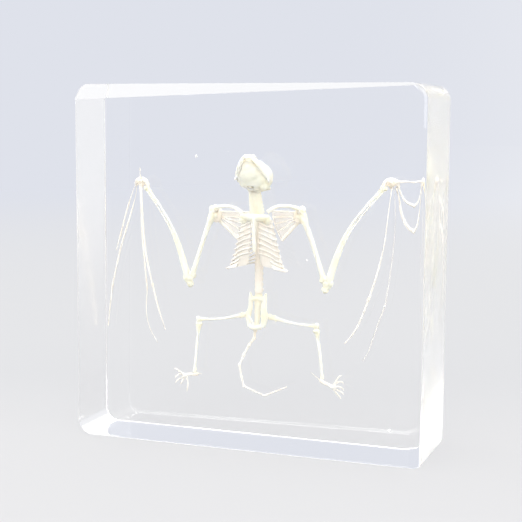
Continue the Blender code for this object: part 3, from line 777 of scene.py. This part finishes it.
limbShape = {
    "humerus": {
        "ends": ("shoulder", "humerusEnd"),
        "rods": (
            (
                (-0.02, 0, 0, 1.0), (0.07, 0.05, 0.1, 0.9), (0.18, 0.12, 0.1, 0.62),
                (0.45, 0.18, 0, 0.52), (0.75, 0.1, 0, 0.5), (0.93, 0, 0, 0.6), (1.05, 0, 0, 0.72),
            ),
            ((0.04, 0.25, 0.6, 0.34), (0.15, 0.25, 0.75, 0.34), (0.3, 0.18, 0.4, 0.24)),  # shoulder crest
        ),
        "lumps": (
            (-0.03, -0.2, -0.2, 1.1), (-0.07, 0.6, 0.2, 0.65), (0.0, -0.8, 0.45, 0.55),
            (1.04, 0.3, 0, 0.68), (1.04, -0.3, 0, 0.68),
        ),
        "spots": ((0.0, 0, 0, 2.8, 1.0), (1.05, 0, 0, 2.6, 0.8)),
    },
    "forearm": {
        "ends": ("elbow", "forearmEnd"),
        "rods": (
            (
                (-0.01, 0, 0, 0.8), (0.05, 0, 0, 0.84), (0.15, -0.06, 0, 0.68), (0.3, -0.15, 0, 0.54),
                (0.42, -0.22, 0, 0.42), (0.55, -0.27, 0, 0.32), (0.8, -0.28, 0, 0.29),
                (0.93, -0.22, 0, 0.34), (1.04, -0.1, 0, 0.48),
            ),
            (  # ulna
                (0.0, 0.3, -0.1, 0.5), (0.12, 0.38, -0.05, 0.46), (0.3, 0.36, 0, 0.36),
                (0.42, 0.35, 0, 0.25), (0.55, 0.34, 0, 0.19), (0.8, 0.34, 0, 0.18), (0.95, 0.34, 0, 0.2),
                (1.02, 0.25, 0, 0.24),
            ),
        ),
        "lumps": (
            (-0.03, -0.1, 0.0, 0.82), (0.02, -0.35, 0.1, 0.86), (0.04, 0.3, 0, 0.84), (1.02, 0.3, 0, 0.5),
            (1.02, -0.3, 0, 0.5),
        ),
        "spots": ((0.0, 0, 0, 3.2, 0.7), (1.02, 0, 0, 2.4, 0.8), (0.3, 0, 0, 4.6, 0.3)),
    },
    "femur": {
        "ends": ("hip", "knee"),
        "rods": (
            (
                (-0.07, 0, 0, 0.62), (0.07, 0, 0, 0.5), (0.22, 0, 0, 0.36), (0.5, 0, 0, 0.28),
                (0.8, 0, 0, 0.3), (0.94, 0, 0, 0.42), (1.02, 0, 0, 0.52),
            ),
        ),
        "lumps": (
            (-0.06, 0.05, 0, 0.66), (0.05, 0.3, 0, 0.4), (0.09, -0.26, 0, 0.36), (1.01, 0.2, 0, 0.5),
            (1.01, -0.35, 0, 0.55),
        ),
        "spots": ((0.0, 0, 0, 2.4, 0.8), (1.0, 0, 0, 2.0, 0.7)),
    },
    "shin": {
        "ends": ("shinTop", "ankle"),
        "rods": (
            (
                (-0.12, 0, 0, 0.56), (0.0, 0, 0, 0.54), (0.2, 0, 0, 0.32), (0.6, 0, 0, 0.23),
                (0.92, 0, 0, 0.27), (1.05, 0, 0, 0.42),
            ),
            ((0.25, 0.33, -0.1, 0.1), (0.6, 0.29, -0.1, 0.1), (0.96, 0.22, 0, 0.12)),  # fibula
        ),
        "lumps": ((-0.05, -0.25, 0.1, 0.58), (-0.05, 0.2, 0.1, 0.55), (1.05, 0, 0.1, 0.42)),
        "spots": ((0.0, 0, 0, 2.0, 0.8), (1.03, 0, 0, 1.6, 0.6)),
    },
}


def alongBone(start, end, bow, way, share, outward, forward):
    # a point beside the bone: outward lies in the plane of the wings, forward is to the front
    axis = (end - start).normalized()
    beside = Vector((-axis.z, 0, axis.x))
    if beside.x * way < 0:
        beside.negate()
    bend = bow * math.sin(math.pi * min(max(share, 0.0), 1.0))
    return start.lerp(end, share) + bend + beside * outward + Vector((0, -forward, 0))


limbBow = {"femur": Vector((0, 0, -0.35))}


def makeLimbBone(bone, side):
    shape = limbShape[bone]
    start, end = (Vector(joints[side][name]) for name in shape["ends"])
    bow = Vector(joints[side]["forearmBow"]) if bone == "forearm" else limbBow.get(bone, Vector())
    way = sides[side]

    def place(share, outward, forward):
        return alongBone(start, end, bow, way, share, outward, forward)

    fused = fuseParts(modelShape(shape, place))
    finishBone(fused, bone + side.capitalize(), f"{bone}_{side}", placed(shape["spots"], place))


# The collarbones and shoulder blades

collarShape = {
    "reach": 10.4,  # mm from the midline to the shoulder that the knots are for
    "knots": (  # mm outward from the midline, Y, mm above the shoulder joint, radius
        (2.9, 2.6, 0.5, 0.5), (4.8, 3.2, 1.6, 0.4), (7.4, 4.2, 1.8, 0.38), (9.9, 5.2, 1.3, 0.5),
    ),
    "warm": (2.0, 0.5),  # at the outer end: reach and strength
}


def makeCollarbone(side):
    shape = collarShape
    x, z = joints[side]["shoulder"][::2]
    reach = abs(x - midline) / shape["reach"]
    knots = [
        (midline + out * reach * sides[side], deep, z + high, radius)
        for out, deep, high, radius in shape["knots"]
    ]
    spots = ((*knots[-1][:3], *shape["warm"]),)
    finishBone(fuseParts([makeRod(knots)]), "collarbone" + side.capitalize(), f"collarbone_{side}", spots)


bladeShape = {
    "back": 7.9,
    "neckTop": (-0.9, 0.5),  # from the shoulder joint: mm outward and mm up
    "neckLow": (-1.1, -1.5),
    "innerTop": (2.5, 0.5),  # from the midline: mm outward; from the joint: mm up
    "innerMid": (3.2, -2.5),
    "tip": (4.7, -5.5),
    "lateralRim": 0.4,
    "upperRim": 0.17,
    "innerRim": 0.11,
    "ray": 0.14,
    "plate": 0.07,
    "ridge": ((0, 0.1, -0.4), (0, 0.1, -1.3), 0.2, 0.25),  # ends off neckTop and innerTop, radius, arch
    "block": (1.3, 0.9, 1.6),  # the thick end that takes the arm
    "blockOff": (0.35, -1.1, 0.15),  # mm outward, back and up from the neck
    "spurs": (  # mm outward, back and up from neckTop, radius
        ((0, -0.6, 0.1, 0.6), (0.1, -1.8, 0.4, 0.5), (0.5, -2.7, 0.1, 0.35)),
        ((-0.8, 0.2, -0.3, 0.3), (0.1, 0.3, 0.7, 0.4), (0.9, -0.6, 1.1, 0.4)),
    ),
    "warm": (2.8, 0.7),
}


def makeBlade(side):
    shape = bladeShape
    way = sides[side]
    x, z = joints[side]["shoulder"][::2]

    def spot(name, start):
        out, up = shape[name]
        return Vector((start + out * way, shape["back"], z + up))

    def aside(across, back, up):
        return neckTop + Vector((across * way, back, up))

    def bar(a, b, radius, lift=0.0):
        middle = a.lerp(b, 0.5) + Vector((0, lift, 0))
        return makeRod(((*a, radius), (*middle, radius), (*b, radius)), 2, 5)

    neckTop, neckLow = spot("neckTop", x), spot("neckLow", x)
    innerTop, innerMid, tip = (spot(name, midline) for name in ("innerTop", "innerMid", "tip"))
    ridgeOut, ridgeIn, ridge, arch = shape["ridge"]
    out, back, up = shape["blockOff"]
    block = neckTop.lerp(neckLow, 0.45) + Vector((out * way, back, up))
    parts = [
        bar(neckLow, tip, shape["lateralRim"]),
        bar(neckTop, innerTop, shape["upperRim"]),
        makeRod([(*point, shape["innerRim"]) for point in (innerTop, innerMid, tip)], 2, 6),
        bar(aside(*ridgeOut), innerTop + Vector(ridgeIn), ridge, arch),
        makeLump(*block, shape["block"]),
    ]
    parts += [makeRod(placed(knots, aside)) for knots in shape["spurs"]]
    middle = neckTop.lerp(neckLow, 0.5)  # from where three rays fan out over the plate
    for end in (innerTop.lerp(innerMid, 0.45), innerTop.lerp(innerMid, 0.9), innerMid.lerp(tip, 0.4)):
        parts.append(bar(middle, end, shape["ray"]))
    rims = fuseParts(parts, ease=1, grain=0.02)
    steps = 4

    def place(row, column):
        root = neckTop.lerp(neckLow, row / steps)
        rim = (innerTop, innerTop.lerp(innerMid, 0.6), innerMid, innerMid.lerp(tip, 0.6), tip)[row]
        return root.lerp(rim, column / steps)

    end = side.capitalize()
    spots = ((*block, *shape["warm"]),)
    finishBone(rims, "shoulderBlade" + end, f"shoulder_blade_{side}", spots, "fine bone")
    plate = makeSheet(steps, steps, place, shape["plate"])
    finishBone(plate, "shoulderPlate" + end, f"shoulder_blade_{side}", finish="thin bone")


for bodySide in sides:
    makeCollarbone(bodySide)
    makeBlade(bodySide)
    for limbBone in limbShape:
        makeLimbBone(limbBone, bodySide)
print("limbs made")

# The hands: wrist bones, thumb, and the metacarpal and finger bones of fingers 2 to 5

wristShape = {  # from the wrist: mm outward, mm back, mm up, radius
    "rods": (
        (
            (-1.5, 0.0, -1.4, 0.5), (-1.25, 0.0, -0.4, 0.56), (-0.5, -0.1, 0.25, 0.6),
            (0.4, 0.0, 0.3, 0.58), (1.15, 0.4, -0.15, 0.5), (1.5, 0.9, -1.0, 0.34),
        ),
    ),
    "lumps": (
        (-0.9, 0.2, 0.15, 0.5), (0.0, -0.5, 0.0, 0.45), (0.9, 0.3, 0.25, 0.45), (0.0, 0.4, -0.5, 0.42),
        (-0.1, 0.3, -1.0, 0.34),
        (0.05, 0.0, -0.3, (1.0, 0.6, 0.7)),
    ),
    "spots": ((0.0, 0.0, -0.4, 1.9, 1.0), (-1.2, 0.0, -0.8, 1.6, 0.5)),
}


def makeWrist(side):
    way = sides[side]
    x, y, z = joints[side]["wrist"]

    def place(out, back, up):
        return x + out * way, y + back, z + up

    wrist = fuseParts(modelShape(wristShape, place), ease=1)
    spots = placed(wristShape["spots"], place)
    finishBone(wrist, "wrist" + side.capitalize(), f"wrist_{side}", spots, "fine bone")


handShape = {  # each knot: x, y, z and radius
    "knob": 1.45,  # how much a bone swells at its root
    "knobLength": 0.8,
    "rootCap": ((1.0, 0.15), (0.6, 0.8), (0.0, 1.0)),  # beyond its end, and how thick; shares of its radius
    "tipCap": ((0.0, 1.15), (0.8, 0.8), (1.2, 0.15)),
    "tipNeck": 0.9,
    "rootWarm": {"thumb": (1.2, 0.6), "metacarpal": (1.4, 0.3), "finger": (1.4, 0.3)},  # reach and strength
    "faint": ("metacarpal4Right", "finger4Right"),  # almost too thin and clear to see
    "metacarpal": {
        "left": {
            2: (
                (-28.9, 7.4, 53.5, 0.06), (-29.8, 8.0, 51.8, 0.09), (-31.2, 8.2, 48.0, 0.2),
                (-32.75, 8.3, 42.7, 0.2),
            ),
            3: (
                (-28.6, 7.6, 53.4, 0.06), (-29.2, 8.3, 51.0, 0.07), (-30.4, 8.4, 47.0, 0.2),
                (-32.8, 8.4, 39.6, 0.22), (-34.8, 8.4, 31.5, 0.2),
            ),
            4: (
                (-27.75, 7.0, 53.7, 0.26), (-27.75, 7.9, 50.0, 0.22), (-27.7, 8.0, 44.9, 0.2),
                (-27.1, 7.9, 38.0, 0.2), (-26.4, 7.8, 31.3, 0.2),
            ),
            5: (
                (-27.4, 6.4, 53.8, 0.34), (-27.3, 6.5, 50.0, 0.3), (-27.0, 6.5, 46.0, 0.24),
                (-26.2, 6.5, 38.2, 0.23), (-24.85, 6.5, 32.1, 0.22),
            ),
        },
        "right": {
            2: (
                (29.2, 7.2, 54.6, 0.16), (29.9, 7.6, 52.8, 0.18), (30.9, 7.7, 51.5, 0.26),
                (32.5, 7.8, 50.7, 0.34), (34.5, 8.0, 49.2, 0.34),
            ),
            3: (
                (28.8, 7.6, 54.2, 0.16), (29.3, 8.3, 52.0, 0.18), (29.8, 8.4, 49.2, 0.26),
                (31.2, 8.4, 46.4, 0.36), (32.6, 8.4, 45.4, 0.44), (34.4, 8.4, 43.5, 0.4),
            ),
            4: (
                (28.3, 7.2, 54.4, 0.06), (28.6, 7.8, 50.0, 0.06), (28.5, 7.8, 43.4, 0.07),
                (27.8, 7.8, 36.5, 0.12), (27.0, 7.8, 30.5, 0.15),
            ),
            5: (
                (28.0, 6.7, 54.2, 0.1), (27.5, 6.5, 49.8, 0.09), (26.5, 6.5, 41.6, 0.13),
                (24.9, 6.5, 35.2, 0.22), (23.8, 6.5, 31.8, 0.22),
            ),
        },
    },
    "finger": {
        "left": {
            2: ((-32.8, 8.3, 42.3, 0.18), (-33.4, 8.35, 40.6, 0.15), (-33.9, 8.4, 38.9, 0.1)),
            3: ((-34.85, 8.4, 31.2, 0.2), (-35.5, 8.4, 26.5, 0.18), (-36.0, 8.4, 22.0, 0.14)),
            4: (
                (-26.35, 7.8, 31.0, 0.14), (-26.5, 7.8, 25.0, 0.09), (-25.6, 7.8, 21.7, 0.08),
                (-23.9, 7.8, 18.9, 0.07),
            ),
            5: ((-24.75, 6.5, 31.9, 0.22), (-23.2, 6.5, 26.3, 0.18), (-21.7, 6.5, 22.0, 0.08)),
        },
        "right": {
            2: ((34.7, 8.0, 49.0, 0.26), (35.4, 8.0, 47.2, 0.22), (35.9, 8.0, 45.6, 0.12)),
            3: ((34.5, 8.4, 43.2, 0.28), (35.6, 8.4, 37.0, 0.2), (36.0, 8.4, 31.0, 0.12)),
            4: (
                (26.9, 7.8, 30.2, 0.14), (24.5, 7.8, 23.2, 0.12), (23.7, 7.8, 20.6, 0.11),
                (22.5, 7.8, 18.4, 0.09),
            ),
            5: (
                (23.7, 6.5, 31.5, 0.22), (22.0, 6.5, 26.9, 0.2), (20.3, 6.5, 23.7, 0.18),
                (18.8, 6.5, 21.9, 0.12),
            ),
        },
    },
    "thumb": {
        "left": (
            (-27.2, 5.9, 54.9, 0.12), (-27.3, 5.4, 56.0, 0.07), (-27.2, 5.1, 57.0, 0.06),
            (-27.1, 5.0, 57.3, 0.05),
        ),
        "right": (
            (28.6, 6.9, 55.4, 0.28), (31.1, 7.2, 55.6, 0.18), (33.0, 7.4, 55.5, 0.12),
            (33.6, 7.4, 55.2, 0.07),
        ),
    },
}


def slimBone(points):
    # a smooth thin shaft, rounded at both ends, with a knob at its root and a smaller one at its tip
    shape = handShape
    spots = [Vector(point[:3]) for point in points]
    radii = [point[3] for point in points]
    toward = (spots[1] - spots[0]).normalized()
    back = (spots[-2] - spots[-1]).normalized()
    root, tip = radii[0] * shape["knob"], radii[-1]
    length = shape["knobLength"]
    knots = [(*(spots[0] - toward * root * beyond), root * wide) for beyond, wide in shape["rootCap"]]
    knots.append((*(spots[0] + toward * length), radii[0]))
    knots += points[1:-1]
    knots.append((*(spots[-1] + back * length), tip * shape["tipNeck"]))
    knots += [(*(spots[-1] - back * tip * beyond), tip * wide) for beyond, wide in shape["tipCap"]]
    return weldCaps(makeRod(knots))


def makeHand(side):
    shape = handShape
    end = side.capitalize()
    makeWrist(side)
    thumb = shape["thumb"][side]
    spots = ((*thumb[0][:3], *shape["rootWarm"]["thumb"]),)
    finishBone(slimBone(thumb), "thumb" + end, f"thumb_{side}", spots, "fine bone")
    for kind in ("metacarpal", "finger"):
        for finger, points in shape[kind][side].items():
            spots = ((*points[0][:3], *shape["rootWarm"][kind]),)
            name = f"{kind}{finger}{end}"
            finish = "thin bone" if name in shape["faint"] else "fine bone"
            finishBone(slimBone(points), name, f"{kind}_{finger}_{side}", spots, finish)


for bodySide in sides:
    makeHand(bodySide)
print("hands made")

# The pelvis, the tail and the feet

pelvisShape = {
    "rods": (
        (  # the sacrum
            (midline, 6.7, 31.3, 0.85), (-0.35, 6.6, 29.4, 0.78), (-0.45, 6.5, 27.2, 0.68),
            (-0.5, 6.5, 25.2, 0.6), (-0.7, 6.4, 23.9, 0.6),
        ),
        (  # the left wing and its ring
            (-1.9, 5.8, 31.5, 0.25), (-1.85, 6.0, 30.2, 0.5), (-1.95, 6.1, 28.2, 0.52),
            (-2.35, 6.1, 26.6, 0.62), (-2.3, 6.1, 25.2, 0.52), (-2.0, 6.0, 24.1, 0.56),
        ),
        (  # the right one
            (1.6, 5.8, 31.4, 0.25), (1.3, 6.0, 30.2, 0.55), (1.15, 6.1, 28.0, 0.66),
            (1.25, 6.1, 26.4, 0.78), (1.1, 6.1, 25.0, 0.7), (0.8, 6.0, 24.1, 0.6),
        ),
        ((-1.9, 5.7, 24.2, 0.55), (-0.7, 5.3, 24.0, 0.52), (0.6, 5.7, 24.2, 0.55)),
        ((-1.8, 6.0, 30.0, 0.5), (midline, 6.4, 30.2, 0.7), (1.2, 6.0, 30.0, 0.55)),
        ((-2.2, 5.7, 26.4, 0.3), (-1.5, 5.2, 25.6, 0.22), (-0.9, 5.0, 24.6, 0.26)),
    ),
    "lumps": tuple((midline, 7.5, 30.8 - 1.5 * k, (0.3, 0.45, 0.5)) for k in range(4)),
    "spots": ((midline, 6.6, 31.2, 2.8, 0.6), (1.3, 6.0, 26.4, 2.2, 0.6), (-2.2, 6.0, 26.6, 2.0, 0.5)),
}


def makePelvis():
    pelvis = fuseParts(modelShape(pelvisShape), voxel=0.09)
    finishBone(pelvis, "pelvisBone", "pelvis", pelvisShape["spots"])


tailShape = {
    "joints": (  # X and Z of each
        (-0.9, 23.3), (-1.1, 21.6), (-2.2, 20.1), (-3.5, 17.7), (-4.4, 15.6), (-3.9, 13.0), (-3.4, 11.1),
        (-1.0, 10.2), (1.3, 9.4), (6.3, 11.7),
    ),
    "deep": 6.5,
    "knuckle": 0.46,
    "taper": 0.025,  # from each knuckle to the next
    "shaft": ((0.25, 0.68), (0.75, 0.64)),  # share of its length, share of its knuckle's radius
    "tip": 0.14,
    "spots": ((-1.0, 6.5, 22.6, 3.0, 0.6),),
}


def makeTail():
    shape = tailShape
    parts = []
    spots = [Vector((x, shape["deep"], z)) for x, z in shape["joints"]]
    for k, (a, b) in enumerate(zip(spots, spots[1:])):
        thick = shape["knuckle"] - shape["taper"] * k
        after = thick - shape["taper"] if k < len(spots) - 2 else shape["tip"]
        shaft = [(*a.lerp(b, share), thick * slim) for share, slim in shape["shaft"]]
        parts.append(makeRod([(*a, thick), *shaft, (*b, after)], 2, 5))
        parts.append(makeLump(*a, thick))
    tail = fuseParts(parts, voxel=0.07, ease=1, grain=0.03)
    finishBone(tail, "tailVertebrae", "tail_vertebrae", shape["spots"], "fine bone")


footShape = {
    "soleRadius": (0.36, 0.34, 0.36),
    "toeRadius": (0.23, 0.19, 0.18, 0.08),
    "spurRadius": (0.2, 0.1, 0.07),
    "heel": (0.15, 0.48),  # mm above the sole's first point, radius
    "ball": (0.8, (0.42, 0.34, 0.36)),  # share of the way to its second point, radii
    "sole": {
        "left": ((-14.3, 6.5, 12.7), (-15.5, 6.4, 12.7), (-17.2, 6.2, 12.4)),
        "right": ((13.9, 6.5, 13.5), (15.0, 6.4, 13.1), (16.6, 6.2, 12.5)),
    },
    "toes": {
        "left": (
            ((-17.1, 6.2, 12.6), (-18.2, 5.9, 13.2), (-19.0, 5.8, 13.7), (-19.4, 5.8, 13.6)),
            ((-17.1, 6.2, 12.4), (-18.3, 6.3, 12.5), (-19.0, 6.2, 12.0), (-19.3, 6.2, 11.6)),
            ((-17.0, 6.2, 12.2), (-18.2, 6.6, 11.5), (-19.0, 6.6, 10.9), (-19.3, 6.6, 10.4)),
            ((-16.9, 6.2, 12.2), (-17.6, 6.9, 11.1), (-18.0, 6.9, 10.5), (-18.2, 6.9, 10.2)),
            ((-16.6, 6.2, 12.2), (-16.3, 6.4, 10.6), (-16.4, 6.3, 9.4), (-16.5, 6.3, 8.8)),
        ),
        "right": (
            ((16.4, 6.2, 12.7), (17.2, 5.9, 14.0), (17.9, 5.8, 15.0), (18.4, 5.8, 15.2)),
            ((16.5, 6.2, 12.6), (17.6, 6.2, 13.7), (18.4, 6.1, 13.8), (18.8, 6.1, 13.5)),
            ((16.6, 6.2, 12.5), (17.7, 6.4, 12.7), (18.5, 6.4, 12.4), (18.8, 6.4, 12.0)),
            ((16.6, 6.2, 12.4), (17.5, 6.7, 11.9), (18.4, 6.7, 11.5), (18.7, 6.7, 11.1)),
            ((16.4, 6.2, 12.3), (17.0, 7.0, 11.3), (17.8, 7.0, 10.5), (18.1, 7.0, 10.1)),
        ),
    },
    "heelSpur": {  # the thin rod of cartilage at the heel
        "left": ((-14.3, 6.5, 12.7), (-13.6, 6.5, 13.0), (-13.0, 6.5, 12.9)),
        "right": ((13.9, 6.5, 13.6), (12.9, 6.5, 14.3), (11.5, 6.5, 15.3)),
    },
    "spots": {"left": ((-14.5, 6.4, 12.9, 1.8, 0.3),), "right": ((14.0, 6.4, 13.6, 1.8, 0.3),)},
}


def makeFoot(side):
    shape = footShape

    def rod(points, radii, *detail):
        return makeRod([(*point, radius) for point, radius in zip(points, radii)], *detail)

    sole = shape["sole"][side]
    heel, second = Vector(sole[0]), Vector(sole[1])
    up, heelRadius = shape["heel"]
    share, ballRadii = shape["ball"]
    parts = [rod(sole, shape["soleRadius"])]
    parts.append(makeLump(*(heel + Vector((0, 0, up))), heelRadius))
    parts.append(makeLump(*heel.lerp(second, share), ballRadii))
    for toe in shape["toes"][side]:
        parts.append(rod(toe, shape["toeRadius"], 2, 5))
        parts.append(makeLump(*toe[1], shape["toeRadius"][0]))
    parts.append(rod(shape["heelSpur"][side], shape["spurRadius"], 2, 5))
    foot = fuseParts(parts, voxel=0.07, ease=1, grain=0.02)
    finishBone(foot, "foot" + side.capitalize(), f"foot_{side}", shape["spots"][side], "fine bone")


makePelvis()
makeTail()
for bodySide in sides:
    makeFoot(bodySide)
print("pelvis, tail and feet made")

# The studio: floor, sky, lights and camera

studio = {
    "sky": linear(223, 226, 235),
    "floorFront": linear(240, 240, 242),
    # painted shade: the floor from the block's foot backwards is painted darker, for the block's shadow band
    "paintedShadeFloor": linear(232, 233, 236),
    "rightSky": linear(242, 243, 246),  # the paler surround that the block's sides show
    # painted light: the floor is painted paler to the right, as if a lamp lit that side
    "paintedLightFloor": linear(246, 246, 248),
    "frontSky": (3.0, 2.94, 2.82, 1),  # the bright room above and behind the camera
    "frontEdge": (-0.5, -0.05),  # forward share of the direction over which it fades
    "frontFoot": (0.28, 0.55),  # upward share over which it grows
    "highSky": (1.5, 1.5, 1.5, 1),  # the white ceiling, which the block's lower rim shows
    "highEdge": (0.32, 0.43),
    "skyEdge": (-0.3, 0.18),  # sideways share of the direction over which the sky grows paler
    "paintedLightEdge": (0.09, 0.16),
    "viewTurn": 20.3,  # degrees: the floor is painted darker behind the block, a painted shade, across this direction
    "paintedShadeEdge": (-0.01, 0.07),
    "litShare": 0.25,  # how much of the floor's tone comes from the lights
    "floorPaint": {"Base Color": (0.26, 0.26, 0.264, 1), "Roughness": 0.7, "Specular IOR Level": 0.1},
    "floorRadius": 3.0,
    "floorSides": 128,
    "floorTop": -0.00005,  # a breath below the block's foot
    "fade": (0.12, 0.9),  # the ring in which the floor turns into the sky's own colour
}


def vectorStep(tree, operation, vector, other=(0, 0, 0)):
    step = tree.nodes.new("ShaderNodeVectorMath")
    step.operation = operation
    tree.links.new(vector, step.inputs[0])
    step.inputs[1].default_value = other
    return step.outputs["Vector" if operation == "NORMALIZE" else "Value"]


def splitVector(tree, vector):
    split = tree.nodes.new("ShaderNodeSeparateXYZ")
    tree.links.new(vector, split.inputs[0])
    return split.outputs


def skyColour(tree, direction):
    # paler to the right; the floor takes it on far out, so that no edge shows between the two
    paler = easeBetween(tree, splitVector(tree, direction)["X"], *studio["skyEdge"])
    return mixColours(tree, paler, studio["sky"], studio["rightSky"])


def makeFloor():
    deselectAll()
    bpy.ops.mesh.primitive_circle_add(
        vertices=studio["floorSides"],
        radius=studio["floorRadius"],
        fill_type="NGON",
        location=(0, 0, studio["floorTop"]),
    )
    floor = bpy.context.object
    floor.name = "floor"
    material, tree, shader = newMaterial("floor")
    setValues(shader, studio["floorPaint"])
    place = tree.nodes.new("ShaderNodeTexCoord").outputs["Object"]
    distance = vectorStep(tree, "LENGTH", place)
    turn = math.radians(studio["viewTurn"])
    # painted shade: the floor turns darker behind the block
    behind = vectorStep(tree, "DOT_PRODUCT", place, (-math.sin(turn), math.cos(turn), 0))
    back = easeBetween(tree, behind, *studio["paintedShadeEdge"])
    tone = mixColours(tree, back, studio["floorFront"], studio["paintedShadeFloor"])
    # painted light: the floor grows paler to the right
    right = easeBetween(tree, splitVector(tree, place)["X"], *studio["paintedLightEdge"])
    paintedLightTone = mixColours(tree, right, tone, studio["paintedLightFloor"])
    fade = easeBetween(tree, distance, *studio["fade"])
    farTone = mixColours(tree, fade, paintedLightTone, skyColour(tree, vectorStep(tree, "NORMALIZE", place)))
    far = tree.nodes.new("ShaderNodeEmission")
    tree.links.new(farTone, far.inputs["Color"])
    lit = easeBetween(tree, distance, *studio["fade"], studio["litShare"], 0.0)
    join = tree.nodes.new("ShaderNodeMixShader")
    for socket, output in zip(join.inputs, (lit, far.outputs["Emission"], shader.outputs["BSDF"])):
        tree.links.new(output, socket)
    tree.links.new(join.outputs["Shader"], tree.nodes["Material Output"].inputs["Surface"])
    floor.data.materials.append(material)


def makeSky():
    world = bpy.data.worlds.new("studioSky")
    world.use_nodes = True
    tree = world.node_tree
    direction = tree.nodes.new("ShaderNodeTexCoord").outputs["Generated"]
    way = splitVector(tree, direction)
    rise = easeBetween(tree, way["Z"], *studio["highEdge"])
    high = mixColours(tree, rise, skyColour(tree, direction), studio["highSky"])
    share = tree.nodes.new("ShaderNodeMath")
    share.operation = "MULTIPLY"
    tree.links.new(easeBetween(tree, way["Y"], *studio["frontEdge"], 1.0, 0.0), share.inputs[0])
    tree.links.new(easeBetween(tree, way["Z"], *studio["frontFoot"]), share.inputs[1])
    shade = tree.nodes["Background"]
    shade.inputs["Strength"].default_value = 1.0
    tree.links.new(mixColours(tree, share.outputs["Value"], high, studio["frontSky"]), shade.inputs["Color"])
    bpy.context.scene.world = world


lightAim = (0, 0, 0.035)  # near the block's middle
lights = {
    "overheadBox": {"at": (-0.3, -0.12, 1.05), "size": (1.0, 1.0), "radiance": 2.0},
    "frontBox": {"at": (0.1, -1.0, 0.9), "size": (1.3, 0.8), "radiance": 3.5},
    "rightCard": {"at": (0.95, 0.1, 0.45), "size": (0.8, 0.8), "radiance": 2.4},
    "leftCard": {"at": (-1.0, 0.0, 0.45), "size": (0.8, 0.8), "radiance": 2.2},
}


def makeLight(name, values):
    deselectAll()
    bpy.ops.object.light_add(type="AREA", location=values["at"])
    light = bpy.context.object
    light.name = name
    aim = Vector(lightAim) - Vector(values["at"])
    light.rotation_euler = aim.to_track_quat("-Z", "Y").to_euler()
    across, along = values["size"]
    light.data.shape = "RECTANGLE"
    light.data.size = across
    light.data.size_y = along
    light.data.energy = values["radiance"] * math.pi * across * along
    light.visible_camera = False


cameraPlace = {
    "at": (0.0881177, -0.2376999, 0.0679792),
    "down": 6.72819,  # degrees below the horizon
    "turn": 20.33826,  # degrees to the left
    "roll": 0.36766,
    "lens": 83.3,
    "sensor": 36,
    "nearest": 0.01,
}


def makeCamera():
    values = cameraPlace
    deselectAll()
    bpy.ops.object.camera_add(location=values["at"])
    camera = bpy.context.object
    camera.name = "camera"
    turn = Matrix.Rotation(math.radians(values["turn"]), 4, "Z")
    tilt = Matrix.Rotation(math.radians(90 - values["down"]), 4, "X")
    roll = Matrix.Rotation(math.radians(values["roll"]), 4, "Z")
    camera.rotation_euler = (turn @ tilt @ roll).to_euler()
    camera.data.lens = values["lens"]
    camera.data.sensor_width = values["sensor"]
    camera.data.clip_start = values["nearest"]
    bpy.context.scene.camera = camera


makeFloor()
makeSky()
for lightName, lightValues in lights.items():
    makeLight(lightName, lightValues)
makeCamera()
scene = bpy.context.scene
scene.view_settings.view_transform = "Standard"
scene.cycles.max_bounces = 32
scene.cycles.transmission_bounces = 24
scene.cycles.glossy_bounces = 16
scene.cycles.transparent_max_bounces = 16
print("studio made")
